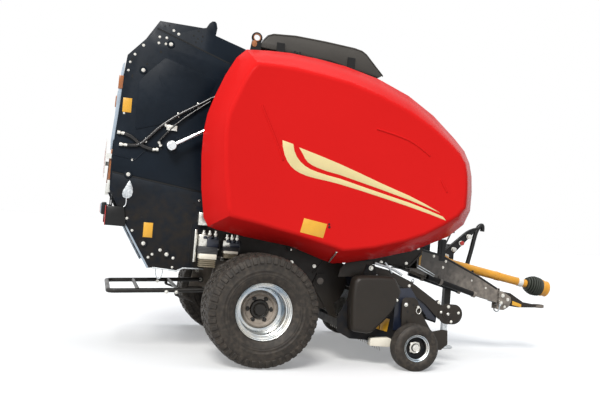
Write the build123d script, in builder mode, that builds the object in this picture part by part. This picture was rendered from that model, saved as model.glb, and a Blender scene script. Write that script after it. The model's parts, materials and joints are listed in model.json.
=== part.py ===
from build123d import *
from collections import namedtuple
from math import atan2, cos, hypot, sin
import os

# Variable-chamber round baler: chassis with drawbar and jack, tailgate, side covers, pickup, feed rotor,
# bale ramp and drive shaft.  X runs forwards to the hitch, Y to the left, Z up, in millimetres.  The origin
# lies on the ground under the middle of the machine.  at(x, z) counts x forwards from the axle.  Side
# pieces are made for the right-hand side, which is negative Y, and mirrored.

# ---------------------------------------------------------------- driving sizes
FRONT_REACH = 3395  # axle to the tip of the drive shaft
REAR_REACH = 1325  # axle to the rear marker boards
AXLE_X = (REAR_REACH - FRONT_REACH) / 2
CHAMBER_HALF = 615  # inner faces of the chamber walls
WALL = 10
TAILGATE_PLATE = 8
TUBE_WALL = 8  # walls of the cross members and rollers
RUN_GAP = 6  # between pieces that move past each other
SEAT = 0.3  # between a piece and what it lies on
PIN_GAP = 0.05  # radial clearance of a pin in its bore
TYRE_RADIUS = 466
TYRE_WIDTH = 500
WHEEL_GAP = 143  # tailgate to the wheels' inner walls
AXLE_SQUARE = 120
HINGE_X = -150  # tailgate pivot
HINGE_Z = 2520
HINGE_PIN = 38
LIFT_OUT = 106  # tailgate to the middle of the lift cylinders
ROTOR_X = 620
ROTOR_Z = 700
ROTOR_RADIUS = 235
REEL_X = 1100
REEL_Z = 375
TINE_REACH = 280
PICKUP_HALF = 905  # inner faces of the pickup's side plates
SIDE_SHEET = 8  # those plates
GAUGE_X = 1390
GAUGE_RADIUS = 203
GAUGE_OUT = 202.5  # pickup to the middle of the gauge wheels
HITCH_BACK = 127  # drive shaft's tip to the hitch eye
HITCH_Z = 522
HITCH_BORE = 25.5
PTO_X = 2000  # the drive shaft's joint at the gearbox
PTO_Z = 949
PTO_TIP_Z = 700.5
GUARD_RADIUS = 45

wall_outer = CHAMBER_HALF + WALL
tailgate_y = wall_outer + RUN_GAP
tailgate_outer = tailgate_y + TAILGATE_PLATE
wheel_y = -(tailgate_outer + WHEEL_GAP + TYRE_WIDTH / 2)
axle_z = TYRE_RADIUS
ramp_half = CHAMBER_HALF - 60
lift_y = tailgate_outer + LIFT_OUT
cover_hinge_y = lift_y + 55
hem_y = max(cover_hinge_y + 130, PICKUP_HALF + SIDE_SHEET + 17)  # inner edge of the covers
hitch_x = FRONT_REACH - HITCH_BACK
slope = atan2(PTO_Z - PTO_TIP_Z, FRONT_REACH - PTO_X)

made = {}


def at(x, z):
    """A side-view point: x forwards from the axle, z above the ground."""
    return (AXLE_X + x, z)


def side_plane(y):
    """The side view's plane at y millimetres to the right; it extrudes outwards."""
    return Plane.XZ.offset(y)


def across(x, z, y=0.0):
    """Where a cylinder lies across the machine."""
    return Location((AXLE_X + x, y, z), (90, 0, 0))


def keep(name, block):
    """Label a finished sub-part and remember it for writing."""
    block.part.label = name
    made[name] = block.part


def keep_pair(name, right):
    """Keep a right-hand piece and its left-hand twin as two sub-parts."""
    keep("right_" + name, right)
    with BuildPart() as left:
        add(mirror(right.part, about=Plane.XZ))
    keep("left_" + name, left)


def keep_both(name, right):
    """Keep a right-hand piece and its left-hand twin as one sub-part."""
    with BuildPart() as both:
        add(right.part)
        add(mirror(right.part, about=Plane.XZ))
    keep(name, both)


# ---------------------------------------------------------------- road and gauge wheels
# radii of the seat, well and pilot hole, and the disc's outer face from the rim's middle
Rim = namedtuple("Rim", "seat flange width well plate disc pilot stud_circle studs stud_hole")
# how far the hub reaches back and out, its bore, and the radii of its barrel, flange, pilot and studs
Hub = namedtuple("Hub", "back cap bore barrel flange pilot stud")
road_rim = Rim(216, 18, 406, 28, 10, 15, 80.5, 205, 6, 10)
road_hub = Hub(95, 48, 35, 62, 122, 80, 9)
gauge_rim = Rim(103, 12, 120, 12, 5, 10, 30.5, 90, 4, 7)
gauge_hub = Hub(45, 22, 12, 24, 56, 30.5, 7)
TYRE_WALL = 28
TYRE_SHOULDER = 42
GAUGE_WIDTH = 165
GAUGE_WALL = 14
GAUGE_SHOULDER = 20


def wheel_section(y, x, z):
    """A wheel's section plane: its x runs outwards along the axle and its y runs up."""
    return Plane(origin=(AXLE_X + x, y, z), x_dir=(0, -1, 0), z_dir=(-1, 0, 0))


def wheel_axis(y, x, z):
    return Axis((AXLE_X + x, y, z), (0, 1, 0))


def hollow_tyre(y, x, z, radius, width, rim, wall, shoulder):
    """A hollow tyre with round shoulders, open at its beads, which sit inside the rim's flanges."""
    half = width / 2
    seat = rim.seat + SEAT
    flange_top = rim.seat + rim.flange + 2
    bead = rim.width / 2 - SEAT
    turn = 1.2 * shoulder
    low = seat + turn
    high = radius - turn
    with BuildPart() as tyre:
        with BuildSketch(wheel_section(y, x, z)):
            with BuildLine():
                Line((-half + shoulder, radius), (half - shoulder, radius))
                RadiusArc((half - shoulder, radius), (half, radius - shoulder), shoulder)
                Polyline((half, radius - shoulder), (half, low), (bead, flange_top), (bead, seat))
                Polyline((bead, seat), (bead - wall, seat), (half - wall, low), (half - wall, high))
                Polyline((half - wall, high), (half - turn, radius - wall))
                Line((half - turn, radius - wall), (-half + turn, radius - wall))
                Polyline((-half + turn, radius - wall), (-half + wall, high), (-half + wall, low))
                Polyline((-half + wall, low), (wall - bead, seat), (-bead, seat), (-bead, flange_top))
                Polyline((-bead, flange_top), (-half, low), (-half, radius - shoulder))
                RadiusArc((-half, radius - shoulder), (-half + shoulder, radius), shoulder)
            make_face()
        revolve(axis=wheel_axis(y, x, z))
    return tyre


def dished_rim(y, x, z, rim):
    """A wheel rim with its disc."""
    half = rim.width / 2
    plate = rim.plate
    disc = rim.disc
    edge = rim.seat + rim.flange
    slope_top = rim.seat - 0.15 * rim.well
    well_floor = rim.seat - rim.well
    inner_well = well_floor - plate
    with BuildPart() as wheel:
        with BuildSketch(wheel_section(y, x, z)):
            with BuildLine():
                Polyline(
                    (-half - plate, edge),
                    (-half, edge),
                    (-half, rim.seat),
                    (-0.45 * half, slope_top),
                    (-0.3 * half, well_floor),
                    (0.3 * half, well_floor),
                    (0.45 * half, slope_top),
                    (half, rim.seat),
                    (half, edge),
                    (half + plate, edge),
                    (half + plate, rim.seat - plate),
                    (0.5 * half, slope_top - plate),
                    (0.35 * half, inner_well),
                    (disc, inner_well),
                    (disc + plate, 0.6 * rim.seat + plate),
                    (disc, 0.57 * rim.seat),
                    (disc, rim.pilot),
                    (disc - plate, rim.pilot),
                    (disc - plate, 0.57 * rim.seat + plate),
                    (disc, 0.6 * rim.seat + 1.6 * plate),
                    (disc - plate, inner_well),
                    (-0.35 * half, inner_well),
                    (-0.5 * half, slope_top - plate),
                    (-half - plate, rim.seat - plate),
                    close=True,
                )
            make_face()
        revolve(axis=wheel_axis(y, x, z))
        with Locations(across(x, z, y)):
            with PolarLocations(rim.stud_circle / 2, rim.studs):
                Hole(rim.stud_hole)
    return wheel


def bolted_hub(y, x, z, rim, hub):
    """A hub on its spindle, with the flange behind the rim's disc and a cap through it."""
    plate = rim.plate
    face = rim.disc - plate
    flange_back = face - 1.5 * plate
    cap_end = rim.disc + hub.cap
    with BuildPart() as middle:
        with BuildSketch(wheel_section(y, x, z)):
            with BuildLine():
                Polyline(
                    (-hub.back, hub.bore + PIN_GAP),
                    (-hub.back, hub.barrel),
                    (flange_back, hub.barrel),
                    (flange_back, hub.flange),
                    (face, hub.flange),
                    (face, hub.pilot),
                    (rim.disc + 1.5 * plate, hub.pilot),
                    (cap_end, 0.8 * hub.pilot),
                    (cap_end, 0),
                    (cap_end - plate, 0),
                    (cap_end - plate, hub.bore + PIN_GAP),
                    close=True,
                )
            make_face()
        revolve(axis=wheel_axis(y, x, z))
        with Locations(across(x, z, y - face - plate)):
            with PolarLocations(rim.stud_circle / 2, rim.studs):
                Cylinder(hub.stud, 4 * plate)
    return middle


gauge_y = -(PICKUP_HALF + GAUGE_OUT)
keep_pair(
    "tyre",
    hollow_tyre(wheel_y, 0, axle_z, TYRE_RADIUS, TYRE_WIDTH, road_rim, TYRE_WALL, TYRE_SHOULDER),
)
keep_pair("rim", dished_rim(wheel_y, 0, axle_z, road_rim))
keep_pair("hub", bolted_hub(wheel_y, 0, axle_z, road_rim, road_hub))
keep_pair(
    "gauge_tyre",
    hollow_tyre(
        gauge_y, GAUGE_X, GAUGE_RADIUS, GAUGE_RADIUS, GAUGE_WIDTH, gauge_rim, GAUGE_WALL, GAUGE_SHOULDER
    ),
)
with BuildPart() as gauge_wheel_middle:
    add(dished_rim(gauge_y, GAUGE_X, GAUGE_RADIUS, gauge_rim).part)
    add(bolted_hub(gauge_y, GAUGE_X, GAUGE_RADIUS, gauge_rim, gauge_hub).part)
keep_pair("gauge_rim", gauge_wheel_middle)

# ---------------------------------------------------------------- axle
axle_half = -wheel_y - TYRE_WIDTH / 2 - 47
with BuildPart() as axle_beam:
    with Locations((AXLE_X, 0, axle_z)):
        Box(AXLE_SQUARE, 2 * axle_half, AXLE_SQUARE)
    spindle_end = -wheel_y + road_rim.disc + road_hub.cap - road_rim.plate - 4
    for side in (-1, 1):
        with Locations(across(0, axle_z, side * (axle_half + spindle_end) / 2)):
            Cylinder(road_hub.bore, spindle_end - axle_half)
keep("axle_beam", axle_beam)

# ---------------------------------------------------------------- chamber walls
LIFT_X = 270  # lift cylinder's pivot on the wall
LIFT_Z = 2400
LIFT_PIN = 20
PICKUP_COLLAR = 45  # the pickup swings on these collars round the rotor's shaft
ROTOR_SHAFT = 30
collar_out = wall_outer + 27
lobe = ROTOR_RADIUS + 15  # the walls' round edge below the rotor
WALL_FLOOR = 740
RAMP_PIVOT_X = -300
RAMP_PIVOT_Z = 560
RAMP_PIN = 14
wall_outline = [
    at(-550, 800),
    at(-550, 1950),
    at(-280, 2460),
    at(-225, 2590),
    at(350, 2600),
    at(950, 2440),
    at(1420, 2150),
    at(1600, 1880),
    at(1600, 1000),
    at(1490, 880),
    at(640, 880),
    at(540, WALL_FLOOR),
    at(-300, WALL_FLOOR),
]
with BuildPart() as right_wall:
    with BuildSketch(side_plane(CHAMBER_HALF)):
        with BuildLine():
            Polyline(*wall_outline, close=True)
        make_face()
        with Locations(at(ROTOR_X, ROTOR_Z)):
            Circle(lobe)
    extrude(amount=WALL)
    # tailgate pin, lift cylinder pin, pickup collar: x, z, radius, outer end
    for x, z, radius, end in (
        (HINGE_X, HINGE_Z, HINGE_PIN, tailgate_outer + 20),
        (LIFT_X, LIFT_Z, LIFT_PIN, lift_y + 40),
        (ROTOR_X, ROTOR_Z, PICKUP_COLLAR, collar_out),
    ):
        with Locations(across(x, z, -(wall_outer + end) / 2)):
            Cylinder(radius, end - wall_outer)
    with Locations(across(ROTOR_X, ROTOR_Z, -wall_outer)):
        Cylinder(ROTOR_SHAFT + PIN_GAP, 4 * collar_out - 4 * CHAMBER_HALF, mode=Mode.SUBTRACT)
keep_pair("chamber_wall", right_wall)

BRACKET = 16
BRACKET_TOP = 860
ramp_boss = ramp_half + 14  # outer ends of the ramp's bosses
axle_top = axle_z + AXLE_SQUARE / 2
with BuildPart() as right_bracket:
    with BuildSketch(side_plane(wall_outer)):
        with BuildLine():
            Polyline(
                at(-400, 480),
                at(-330, BRACKET_TOP),
                at(360, BRACKET_TOP),
                at(360, 720),
                at(AXLE_SQUARE, axle_top),
                at(-AXLE_SQUARE, axle_top),
                at(-230, 480),
                close=True,
            )
        make_face()
    extrude(amount=BRACKET)
    with Locations(across(RAMP_PIVOT_X, RAMP_PIVOT_Z, -(ramp_boss + wall_outer) / 2)):
        Cylinder(RAMP_PIN, wall_outer - ramp_boss)
keep_both("axle_brackets", right_bracket)

# cross members between the walls: x, z, width, height
CROSS_FRONT = 1570
cross_members = [
    (-190, 790, 120, 80),
    (300, 790, 110, 80),
    (CROSS_FRONT - 60, 960, 120, 200),
    (1500, 1790, 90, 90),
    (880, 2400, 90, 60),
]
with BuildPart() as chassis_crossmembers:
    for x, z, width, height in cross_members:
        with Locations((AXLE_X + x, 0, z)):
            Box(width, 2 * CHAMBER_HALF, height)
            Box(width - 2 * TUBE_WALL, 2 * CHAMBER_HALF, height - 2 * TUBE_WALL, mode=Mode.SUBTRACT)
keep("chassis_crossmembers", chassis_crossmembers)

# ---------------------------------------------------------------- rollers and belts
ROLLER = 50
BELT = 8
BELT_WIDTH = 190
BELT_PITCH = 225
BELTS = 5
roller_half = CHAMBER_HALF - 12
ROLLER_SHAFT = 18


def roller_set(table, shaft_half):
    """Rollers lying across the machine, from rows of x, z, radius."""
    with BuildPart() as rollers:
        for x, z, radius in table:
            with Locations(across(x, z)):
                Cylinder(radius, 2 * roller_half)
                Cylinder(radius - TUBE_WALL, 2 * roller_half - 30, mode=Mode.SUBTRACT)
                Cylinder(ROLLER_SHAFT, 2 * shaft_half)
    return rollers


def belt_set(corners):
    """Endless belts round equal rollers at the corners of the side view."""
    rounds = ((ROLLER + SEAT + BELT, Mode.ADD), (ROLLER + SEAT, Mode.SUBTRACT))
    with BuildPart() as belts:
        for number in range(BELTS):
            middle = (number - (BELTS - 1) / 2) * BELT_PITCH
            for radius, mode in rounds:
                with BuildSketch(side_plane(middle - BELT_WIDTH / 2)):
                    with BuildLine():
                        Polyline(*[at(x, z) for x, z in corners], close=True)
                    make_face()
                    offset(amount=radius)
                extrude(amount=BELT_WIDTH, mode=mode)
    return belts


front_corners = [(-40, 2430), (720, 2370), (1270, 2030), (1400, 1450), (950, 1150)]
rear_corners = [(-430, 2560), (-870, 2640), (-1080, 2390), (-1130, 1500), (-960, 930)]
starter_rollers = [(-360, 900, 80), (330, 1010, 90), (790, 1010, 80)]
front_rollers = [(x, z, ROLLER) for x, z in front_corners] + starter_rollers
keep("chassis_rollers", roller_set(front_rollers, CHAMBER_HALF - SEAT))
keep("chassis_belts", belt_set(front_corners))

# ---------------------------------------------------------------- front guard and net box
GUARD_SHEET = 4
GUARD_FRONT = 1590
BOX_REAR = 1630
BOX_FRONT = 1915
BOX_LOW = 1230
BOX_HIGH = 1640
box_half = CHAMBER_HALF + 25
LID_PIN = 6
LID_SHEET = 5
lid_x = BOX_REAR - 14
lid_z = BOX_HIGH + RUN_GAP + LID_SHEET / 2
with BuildPart() as front_guard:
    with BuildSketch(side_plane(-CHAMBER_HALF + SEAT)):
        with BuildLine():
            Polyline(at(GUARD_FRONT, 1062), at(GUARD_FRONT, 1880), at(1405, 2150), at(960, 2425))
        trace(line_width=GUARD_SHEET)
    extrude(amount=2 * CHAMBER_HALF - 2 * SEAT)
keep("front_guard", front_guard)

with BuildPart() as net_box:
    with Locations((AXLE_X + (BOX_REAR + BOX_FRONT) / 2, 0, (BOX_LOW + BOX_HIGH) / 2)):
        Box(BOX_FRONT - BOX_REAR, 2 * box_half, BOX_HIGH - BOX_LOW)
    offset(amount=-GUARD_SHEET, openings=net_box.faces().sort_by(Axis.Z)[-1])
    # brackets to the chamber's front
    bracket_rear = GUARD_FRONT + GUARD_SHEET / 2 + SEAT
    with Locations((AXLE_X + (bracket_rear + BOX_REAR + 1) / 2, 0, 1400)):
        with GridLocations(1, 900, 1, 2):
            Box(BOX_REAR + 1 - bracket_rear, 60, 200)
    # lugs and pins of the lid
    for y in (-500, 500):
        with Locations((AXLE_X + BOX_REAR - 9, y, BOX_HIGH - 6)):
            Box(22, 30, 40)
        with Locations(across(lid_x, lid_z, y)):
            Cylinder(LID_PIN, 150)
keep("net_box", net_box)

with BuildPart() as net_lid:
    lid_rear = BOX_REAR + 6
    lid_front = BOX_FRONT + RUN_GAP + LID_SHEET
    with Locations((AXLE_X + (lid_rear + lid_front) / 2, 0, lid_z)):
        Box(lid_front - lid_rear, 2 * box_half, LID_SHEET)
    with Locations((AXLE_X + lid_front - LID_SHEET / 2, 0, lid_z - 25)):
        Box(LID_SHEET, 2 * box_half, 50)
    for y in (-550, -450, 450, 550):
        with Locations((AXLE_X + (lid_x + lid_rear) / 2 + 2, y, lid_z)):
            Box(lid_rear - lid_x + 4, 40, LID_SHEET)
        with Locations(across(lid_x, lid_z, y)):
            Cylinder(2 * LID_PIN, 40)
            Cylinder(LID_PIN + PIN_GAP, 60, mode=Mode.SUBTRACT)
keep("net_lid", net_lid)

# ---------------------------------------------------------------- roof fairing
fairing_half = CHAMBER_HALF - 15
FAIRING_SHEET = 5
fairing_outline = [
    at(-113, 2737),
    at(-15, 2868),
    at(223, 2885),
    at(787, 2853),
    at(887, 2825),
    at(1081, 2637),
    at(1033, 2612),
    at(558, 2705),
]
with BuildPart() as roof_fairing:
    with BuildSketch(side_plane(-fairing_half)):
        with BuildLine():
            Polyline(*fairing_outline, close=True)
        make_face()
    extrude(amount=2 * fairing_half)
    undersides = roof_fairing.faces().filter_by(lambda face: face.normal_at().Z < -0.5)
    offset(amount=-FAIRING_SHEET, openings=undersides)
keep("roof_fairing", roof_fairing)

LIFTING_PLATE = 12
with BuildPart() as right_stays:
    # stays of the fairing: x, low, high
    for x, low, high in ((90, 2490, 2800), (760, 2430, 2760)):
        with Locations((AXLE_X + x, -(fairing_half + CHAMBER_HALF) / 2, (low + high) / 2)):
            Box(70, CHAMBER_HALF - fairing_half, high - low)
    with BuildSketch(side_plane(CHAMBER_HALF - LIFTING_PLATE)):
        with BuildLine():
            Polyline(
                at(-200, 2500),
                at(-200, 2590),
                at(-168, 2815),
                at(-92, 2815),
                at(-80, 2500),
                close=True,
            )
        make_face()
        with Locations(at(-130, 2815)):
            Circle(48)
            Circle(27, mode=Mode.SUBTRACT)
    extrude(amount=LIFTING_PLATE)
keep_both("roof_stays", right_stays)

# ---------------------------------------------------------------- drawbar
drawbar_front = hitch_x - 554
DRAWBAR_PLATE = 12
DRAWBAR_REAR_HALF = 270
DRAWBAR_FRONT_HALF = 100
drawbar_side = [
    at(CROSS_FRONT, 860),
    at(CROSS_FRONT, 1060),
    at(1700, 1045),
    at(1990, 990),
    at(drawbar_front - 241, 792),
    at(drawbar_front, 682),
    at(drawbar_front, 545),
    at(drawbar_front - 388, 640),
    at(1940, 745),
]


def drawbar_half(x):
    """Half the drawbar's outer width at x."""
    share = (x - CROSS_FRONT) / (drawbar_front - CROSS_FRONT)
    return DRAWBAR_REAR_HALF + share * (DRAWBAR_FRONT_HALF - DRAWBAR_REAR_HALF)


def drawbar_plan(rear, front, inset):
    """The drawbar's plan between two stations, inset from its outer faces."""
    return [
        (AXLE_X + rear, -drawbar_half(rear) + inset),
        (AXLE_X + front, -drawbar_half(front) + inset),
        (AXLE_X + front, drawbar_half(front) - inset),
        (AXLE_X + rear, drawbar_half(rear) - inset),
    ]


GEARBOX_X = 1800
GEARBOX_LENGTH = 230
GEARBOX_WIDTH = 190
GEARBOX_FLOOR = 832
GEARBOX_TOP = 1130
floor_reach = GEARBOX_LENGTH / 2 + 45
with BuildPart() as drawbar:
    with BuildSketch(side_plane(-400)):
        with BuildLine():
            Polyline(*drawbar_side, close=True)
        make_face()
    extrude(amount=800)
    with BuildSketch():
        with BuildLine():
            Polyline(*drawbar_plan(CROSS_FRONT, drawbar_front, 0), close=True)
        make_face()
        with BuildLine():
            Polyline(*drawbar_plan(CROSS_FRONT + 14, drawbar_front - 60, DRAWBAR_PLATE), close=True)
        make_face(mode=Mode.SUBTRACT)
    extrude(amount=2000, mode=Mode.INTERSECT)
    with BuildSketch(Plane.XY.offset(GEARBOX_FLOOR - DRAWBAR_PLATE)):
        with BuildLine():
            Polyline(
                *drawbar_plan(GEARBOX_X - floor_reach, GEARBOX_X + floor_reach, DRAWBAR_PLATE / 2),
                close=True,
            )
        make_face()
    extrude(amount=DRAWBAR_PLATE)
keep("drawbar", drawbar)

BRACE = 26
brace_run = [(1840, 772), (drawbar_front - 314, 622)]
with BuildPart() as right_brace:
    ends = [
        Vector(AXLE_X + x, -drawbar_half(x) - BRACE * 1.02 - SEAT, z) for x, z in brace_run
    ]
    with BuildSketch(Plane(origin=ends[0], z_dir=ends[1] - ends[0])):
        Circle(BRACE)
    extrude(amount=(ends[1] - ends[0]).length)
keep_both("drawbar_tubes", right_brace)

TONGUE_HALF = 40
EYE_RADIUS = 58
EYE_PLATE = 30
eye_rear = hitch_x - EYE_RADIUS + 5
tongue_side = [
    at(drawbar_front, 670),
    at(drawbar_front + 186, 645),
    at(hitch_x - 208, 556),
    at(eye_rear, HITCH_Z + EYE_PLATE / 2),
    at(eye_rear, HITCH_Z - EYE_PLATE / 2),
    at(hitch_x - 268, 498),
    at(drawbar_front + 46, 520),
    at(drawbar_front, 560),
]
with BuildPart() as hitch_tongue:
    with BuildSketch(side_plane(-TONGUE_HALF)):
        with BuildLine():
            Polyline(*tongue_side, close=True)
        make_face()
    extrude(amount=2 * TONGUE_HALF)
    with Locations((AXLE_X + drawbar_front + 10, 0, 615)):
        Box(20, 2 * DRAWBAR_FRONT_HALF, 150)
    with Locations((AXLE_X + hitch_x, 0, HITCH_Z)):
        Cylinder(EYE_RADIUS, EYE_PLATE)
        Hole(HITCH_BORE)
keep("hitch_tongue", hitch_tongue)

# ---------------------------------------------------------------- gearbox and side drive
SIDE_DRIVE_Z = 1085
SIDE_SHAFT = 30
CASE_DEPTH = 75
CASE_SHEET = 5
case_y = collar_out + RUN_GAP
with BuildPart() as gearbox:
    with Locations((AXLE_X + GEARBOX_X, 0, (GEARBOX_FLOOR + GEARBOX_TOP) / 2)):
        Box(GEARBOX_LENGTH, GEARBOX_WIDTH, GEARBOX_TOP - GEARBOX_FLOOR)
    fillet(gearbox.edges().filter_by(Axis.Z), 30)
    with Locations(Location((AXLE_X + GEARBOX_X + GEARBOX_LENGTH / 2 + 10, 0, PTO_Z), (0, 90, 0))):
        Cylinder(60, 60)
    with Locations(across(GEARBOX_X, SIDE_DRIVE_Z, (GEARBOX_WIDTH / 2 + case_y) / 2)):
        Cylinder(SIDE_SHAFT, case_y - GEARBOX_WIDTH / 2)

case_middle = (1250, 1120)
CASE_RADIUS = 105
# runs of the case: x, z and radius at both ends
case_runs = [
    (GEARBOX_X, SIDE_DRIVE_Z, 95, *case_middle, CASE_RADIUS),
    (*case_middle, CASE_RADIUS, ROTOR_X, ROTOR_Z, 115),
]
with BuildPart() as drive_case:
    for inset, mode in ((0, Mode.ADD), (CASE_SHEET, Mode.SUBTRACT)):
        for x, z, radius, far_x, far_z, far_radius in case_runs:
            with BuildSketch(side_plane(-case_y - inset)):
                with Locations(at(x, z)):
                    Circle(radius - inset)
                with Locations(at(far_x, far_z)):
                    Circle(far_radius - inset)
                make_hull()
            extrude(amount=-CASE_DEPTH + 2 * inset, mode=mode)
    with Locations(across(*case_middle, (wall_outer + case_y) / 2)):
        Cylinder(28, case_y - wall_outer)
keep("drive_case", drive_case)

# ---------------------------------------------------------------- jack
JACK_X = 2300
JACK_OUT = 100.5  # from the drawbar's face to the middle of the leg, past the brace
JACK_SQUARE = 70
LEG_SQUARE = 56
JACK_TOP = 1100
JACK_LOW = 310
JACK_LID = 12
JACK_BRACKET = 50  # half the length of its bracket on the drawbar
LEG_TOP = 780
FOOT = 10
jack_y = drawbar_half(JACK_X) + JACK_OUT
jack_side = jack_y - JACK_SQUARE / 2
crank_y = jack_y + JACK_SQUARE / 2
jack_middle = (JACK_TOP + JACK_LOW) / 2
with BuildPart() as jack_sleeve:
    with Locations((AXLE_X + JACK_X, jack_y, jack_middle)):
        Box(JACK_SQUARE, JACK_SQUARE, JACK_TOP - JACK_LOW)
    with Locations((AXLE_X + JACK_X, jack_y, jack_middle - JACK_LID)):
        Box(LEG_SQUARE + 2 * SEAT, LEG_SQUARE + 2 * SEAT, JACK_TOP - JACK_LOW, mode=Mode.SUBTRACT)
    with BuildSketch(Plane.XY.offset(720)):
        with BuildLine():
            Polyline(
                (AXLE_X + JACK_X - JACK_BRACKET, drawbar_half(JACK_X - JACK_BRACKET) + SEAT),
                (AXLE_X + JACK_X + JACK_BRACKET, drawbar_half(JACK_X + JACK_BRACKET) + SEAT),
                (AXLE_X + JACK_X + JACK_BRACKET, jack_side + 1),
                (AXLE_X + JACK_X - JACK_BRACKET, jack_side + 1),
                close=True,
            )
        make_face()
    extrude(amount=110)
    with Locations(across(JACK_X, JACK_TOP - 40, crank_y + 60)):
        Cylinder(9, 120)
keep("jack_sleeve", jack_sleeve)

with BuildPart() as jack_leg:
    with Locations((AXLE_X + JACK_X, jack_y, LEG_TOP / 2)):
        Box(LEG_SQUARE, LEG_SQUARE, LEG_TOP)
        Box(LEG_SQUARE - 12, LEG_SQUARE - 12, LEG_TOP, mode=Mode.SUBTRACT)
    with Locations((AXLE_X + JACK_X, jack_y, FOOT / 2)):
        Cylinder(100, FOOT)
keep("jack_leg", jack_leg)

# ---------------------------------------------------------------- hose rack and shaft hanger
ROD = 9
RACK_SHEET = 8
RACK_Y = 92


def on_pto(x):
    """Height of the drive shaft's axis at x."""
    return PTO_Z - (x - PTO_X) * sin(slope) / cos(slope)


HANGER_X = 2420
hanger_z = on_pto(HANGER_X) - GUARD_RADIUS / cos(slope) - ROD - SEAT
hanger_side = GUARD_RADIUS + ROD + 20
hanger_y = RACK_Y + RACK_SHEET + ROD + SEAT
with BuildPart() as hose_rack:
    with BuildSketch(side_plane(-RACK_Y - RACK_SHEET)):
        with BuildLine():
            Polyline(
                at(2060, 930),
                at(2130, 1010),
                at(2440, 1285),
                at(2530, 1300),
                at(2170, 905),
                close=True,
            )
        make_face()
    extrude(amount=RACK_SHEET)
    with BuildSketch(Plane.XY.offset(915)):
        with BuildLine():
            Polyline(
                (AXLE_X + 2080, RACK_Y + 4),
                (AXLE_X + 2130, RACK_Y + 4),
                (AXLE_X + 2130, drawbar_half(2130) - DRAWBAR_PLATE - SEAT),
                (AXLE_X + 2080, drawbar_half(2080) - DRAWBAR_PLATE - SEAT),
                close=True,
            )
        make_face()
    extrude(amount=15)
keep("hose_rack", hose_rack)

with BuildPart() as shaft_hanger:
    with BuildLine() as hanger_route:
        FilletPolyline(
            (AXLE_X + 2590, hanger_y, 1275),
            (AXLE_X + 2585, hanger_y, 1340),
            (AXLE_X + 2480, hanger_y, 1262),
            (AXLE_X + 2440, hanger_y, 1160),
            (AXLE_X + HANGER_X, hanger_side, 1050),
            (AXLE_X + HANGER_X, hanger_side, hanger_z),
            (AXLE_X + HANGER_X, -hanger_side, hanger_z),
            (AXLE_X + HANGER_X, -hanger_side, hanger_z + 50),
            radius=[22, 40, 40, 40, 22, 22],
        )
    with BuildSketch(Plane(origin=hanger_route.line @ 0, z_dir=hanger_route.line % 0)):
        Circle(ROD)
    sweep()
keep("shaft_hanger", shaft_hanger)

# ---------------------------------------------------------------- drive shaft
GUARD_TUBE = 4
GUARD_SPLIT = 760  # along the shaft, from its joint
SLEEVE_START = 300  # rear end of the front guard inside the rear one
YOKE_SHAFT = 16
SPLINE_BORE = 17.5
TUBE_BORE = 34
CROSS_PIN = 14
BELL = 66
shaft_length = (FRONT_REACH - 17 - PTO_X) / cos(slope)
TUBE_END = shaft_length - 230
yoke_start = shaft_length - 100
sleeve = GUARD_RADIUS - GUARD_TUBE - 2 * SEAT


def shaft_plane(distance):
    """A plane square to the drive shaft, at a distance from its joint."""
    start = Vector(AXLE_X + PTO_X, 0, PTO_Z)
    along = Vector(cos(slope), 0, -sin(slope))
    return Plane(origin=start + along * distance, x_dir=(0, 1, 0), z_dir=along)


def shaft_rings(rings):
    """Rings along the drive shaft, from rows of start, end, outer radius, inner radius."""
    with BuildPart() as piece:
        for start, end, outer, inner in rings:
            with BuildSketch(shaft_plane(start)):
                Circle(outer)
                if inner:
                    Circle(inner, mode=Mode.SUBTRACT)
            extrude(amount=end - start)
    return piece


keep(
    "rear_shaft_guard",
    shaft_rings(
        [
            (30, 150, 72, 40),
            (150, 170, 72, GUARD_RADIUS - 6),
            (170, GUARD_SPLIT, GUARD_RADIUS, GUARD_RADIUS - GUARD_TUBE),
        ]
    ),
)
keep(
    "front_shaft_guard",
    shaft_rings(
        [
            (SLEEVE_START, GUARD_SPLIT + RUN_GAP + 1, sleeve, TUBE_BORE),
            (GUARD_SPLIT + RUN_GAP, TUBE_END, GUARD_RADIUS, TUBE_BORE),
            (TUBE_END - 1, TUBE_END + 20, BELL, TUBE_BORE),
            (TUBE_END + 20, yoke_start - 10, BELL, BELL - 8),
            (SLEEVE_START + 20, SLEEVE_START + 40, TUBE_BORE + 0.5, YOKE_SHAFT + PIN_GAP),
            (TUBE_END - 20, TUBE_END, TUBE_BORE + 0.5, YOKE_SHAFT + PIN_GAP),
        ]
    ),
)
keep(
    "drive_yoke",
    shaft_rings(
        [
            (SLEEVE_START + 30, yoke_start, YOKE_SHAFT, 0),
            (yoke_start, yoke_start + 30, 48, 0),
            (yoke_start + 30, shaft_length, 40, SPLINE_BORE),
        ]
    ),
)
with BuildPart() as gearbox_with_joint:
    add(gearbox.part)
    add(shaft_rings([(-45, 25, 30, 0)]).part)
    with Locations(across(PTO_X, PTO_Z)):
        Cylinder(CROSS_PIN, 2 * 38)
keep("gearbox", gearbox_with_joint)

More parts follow.
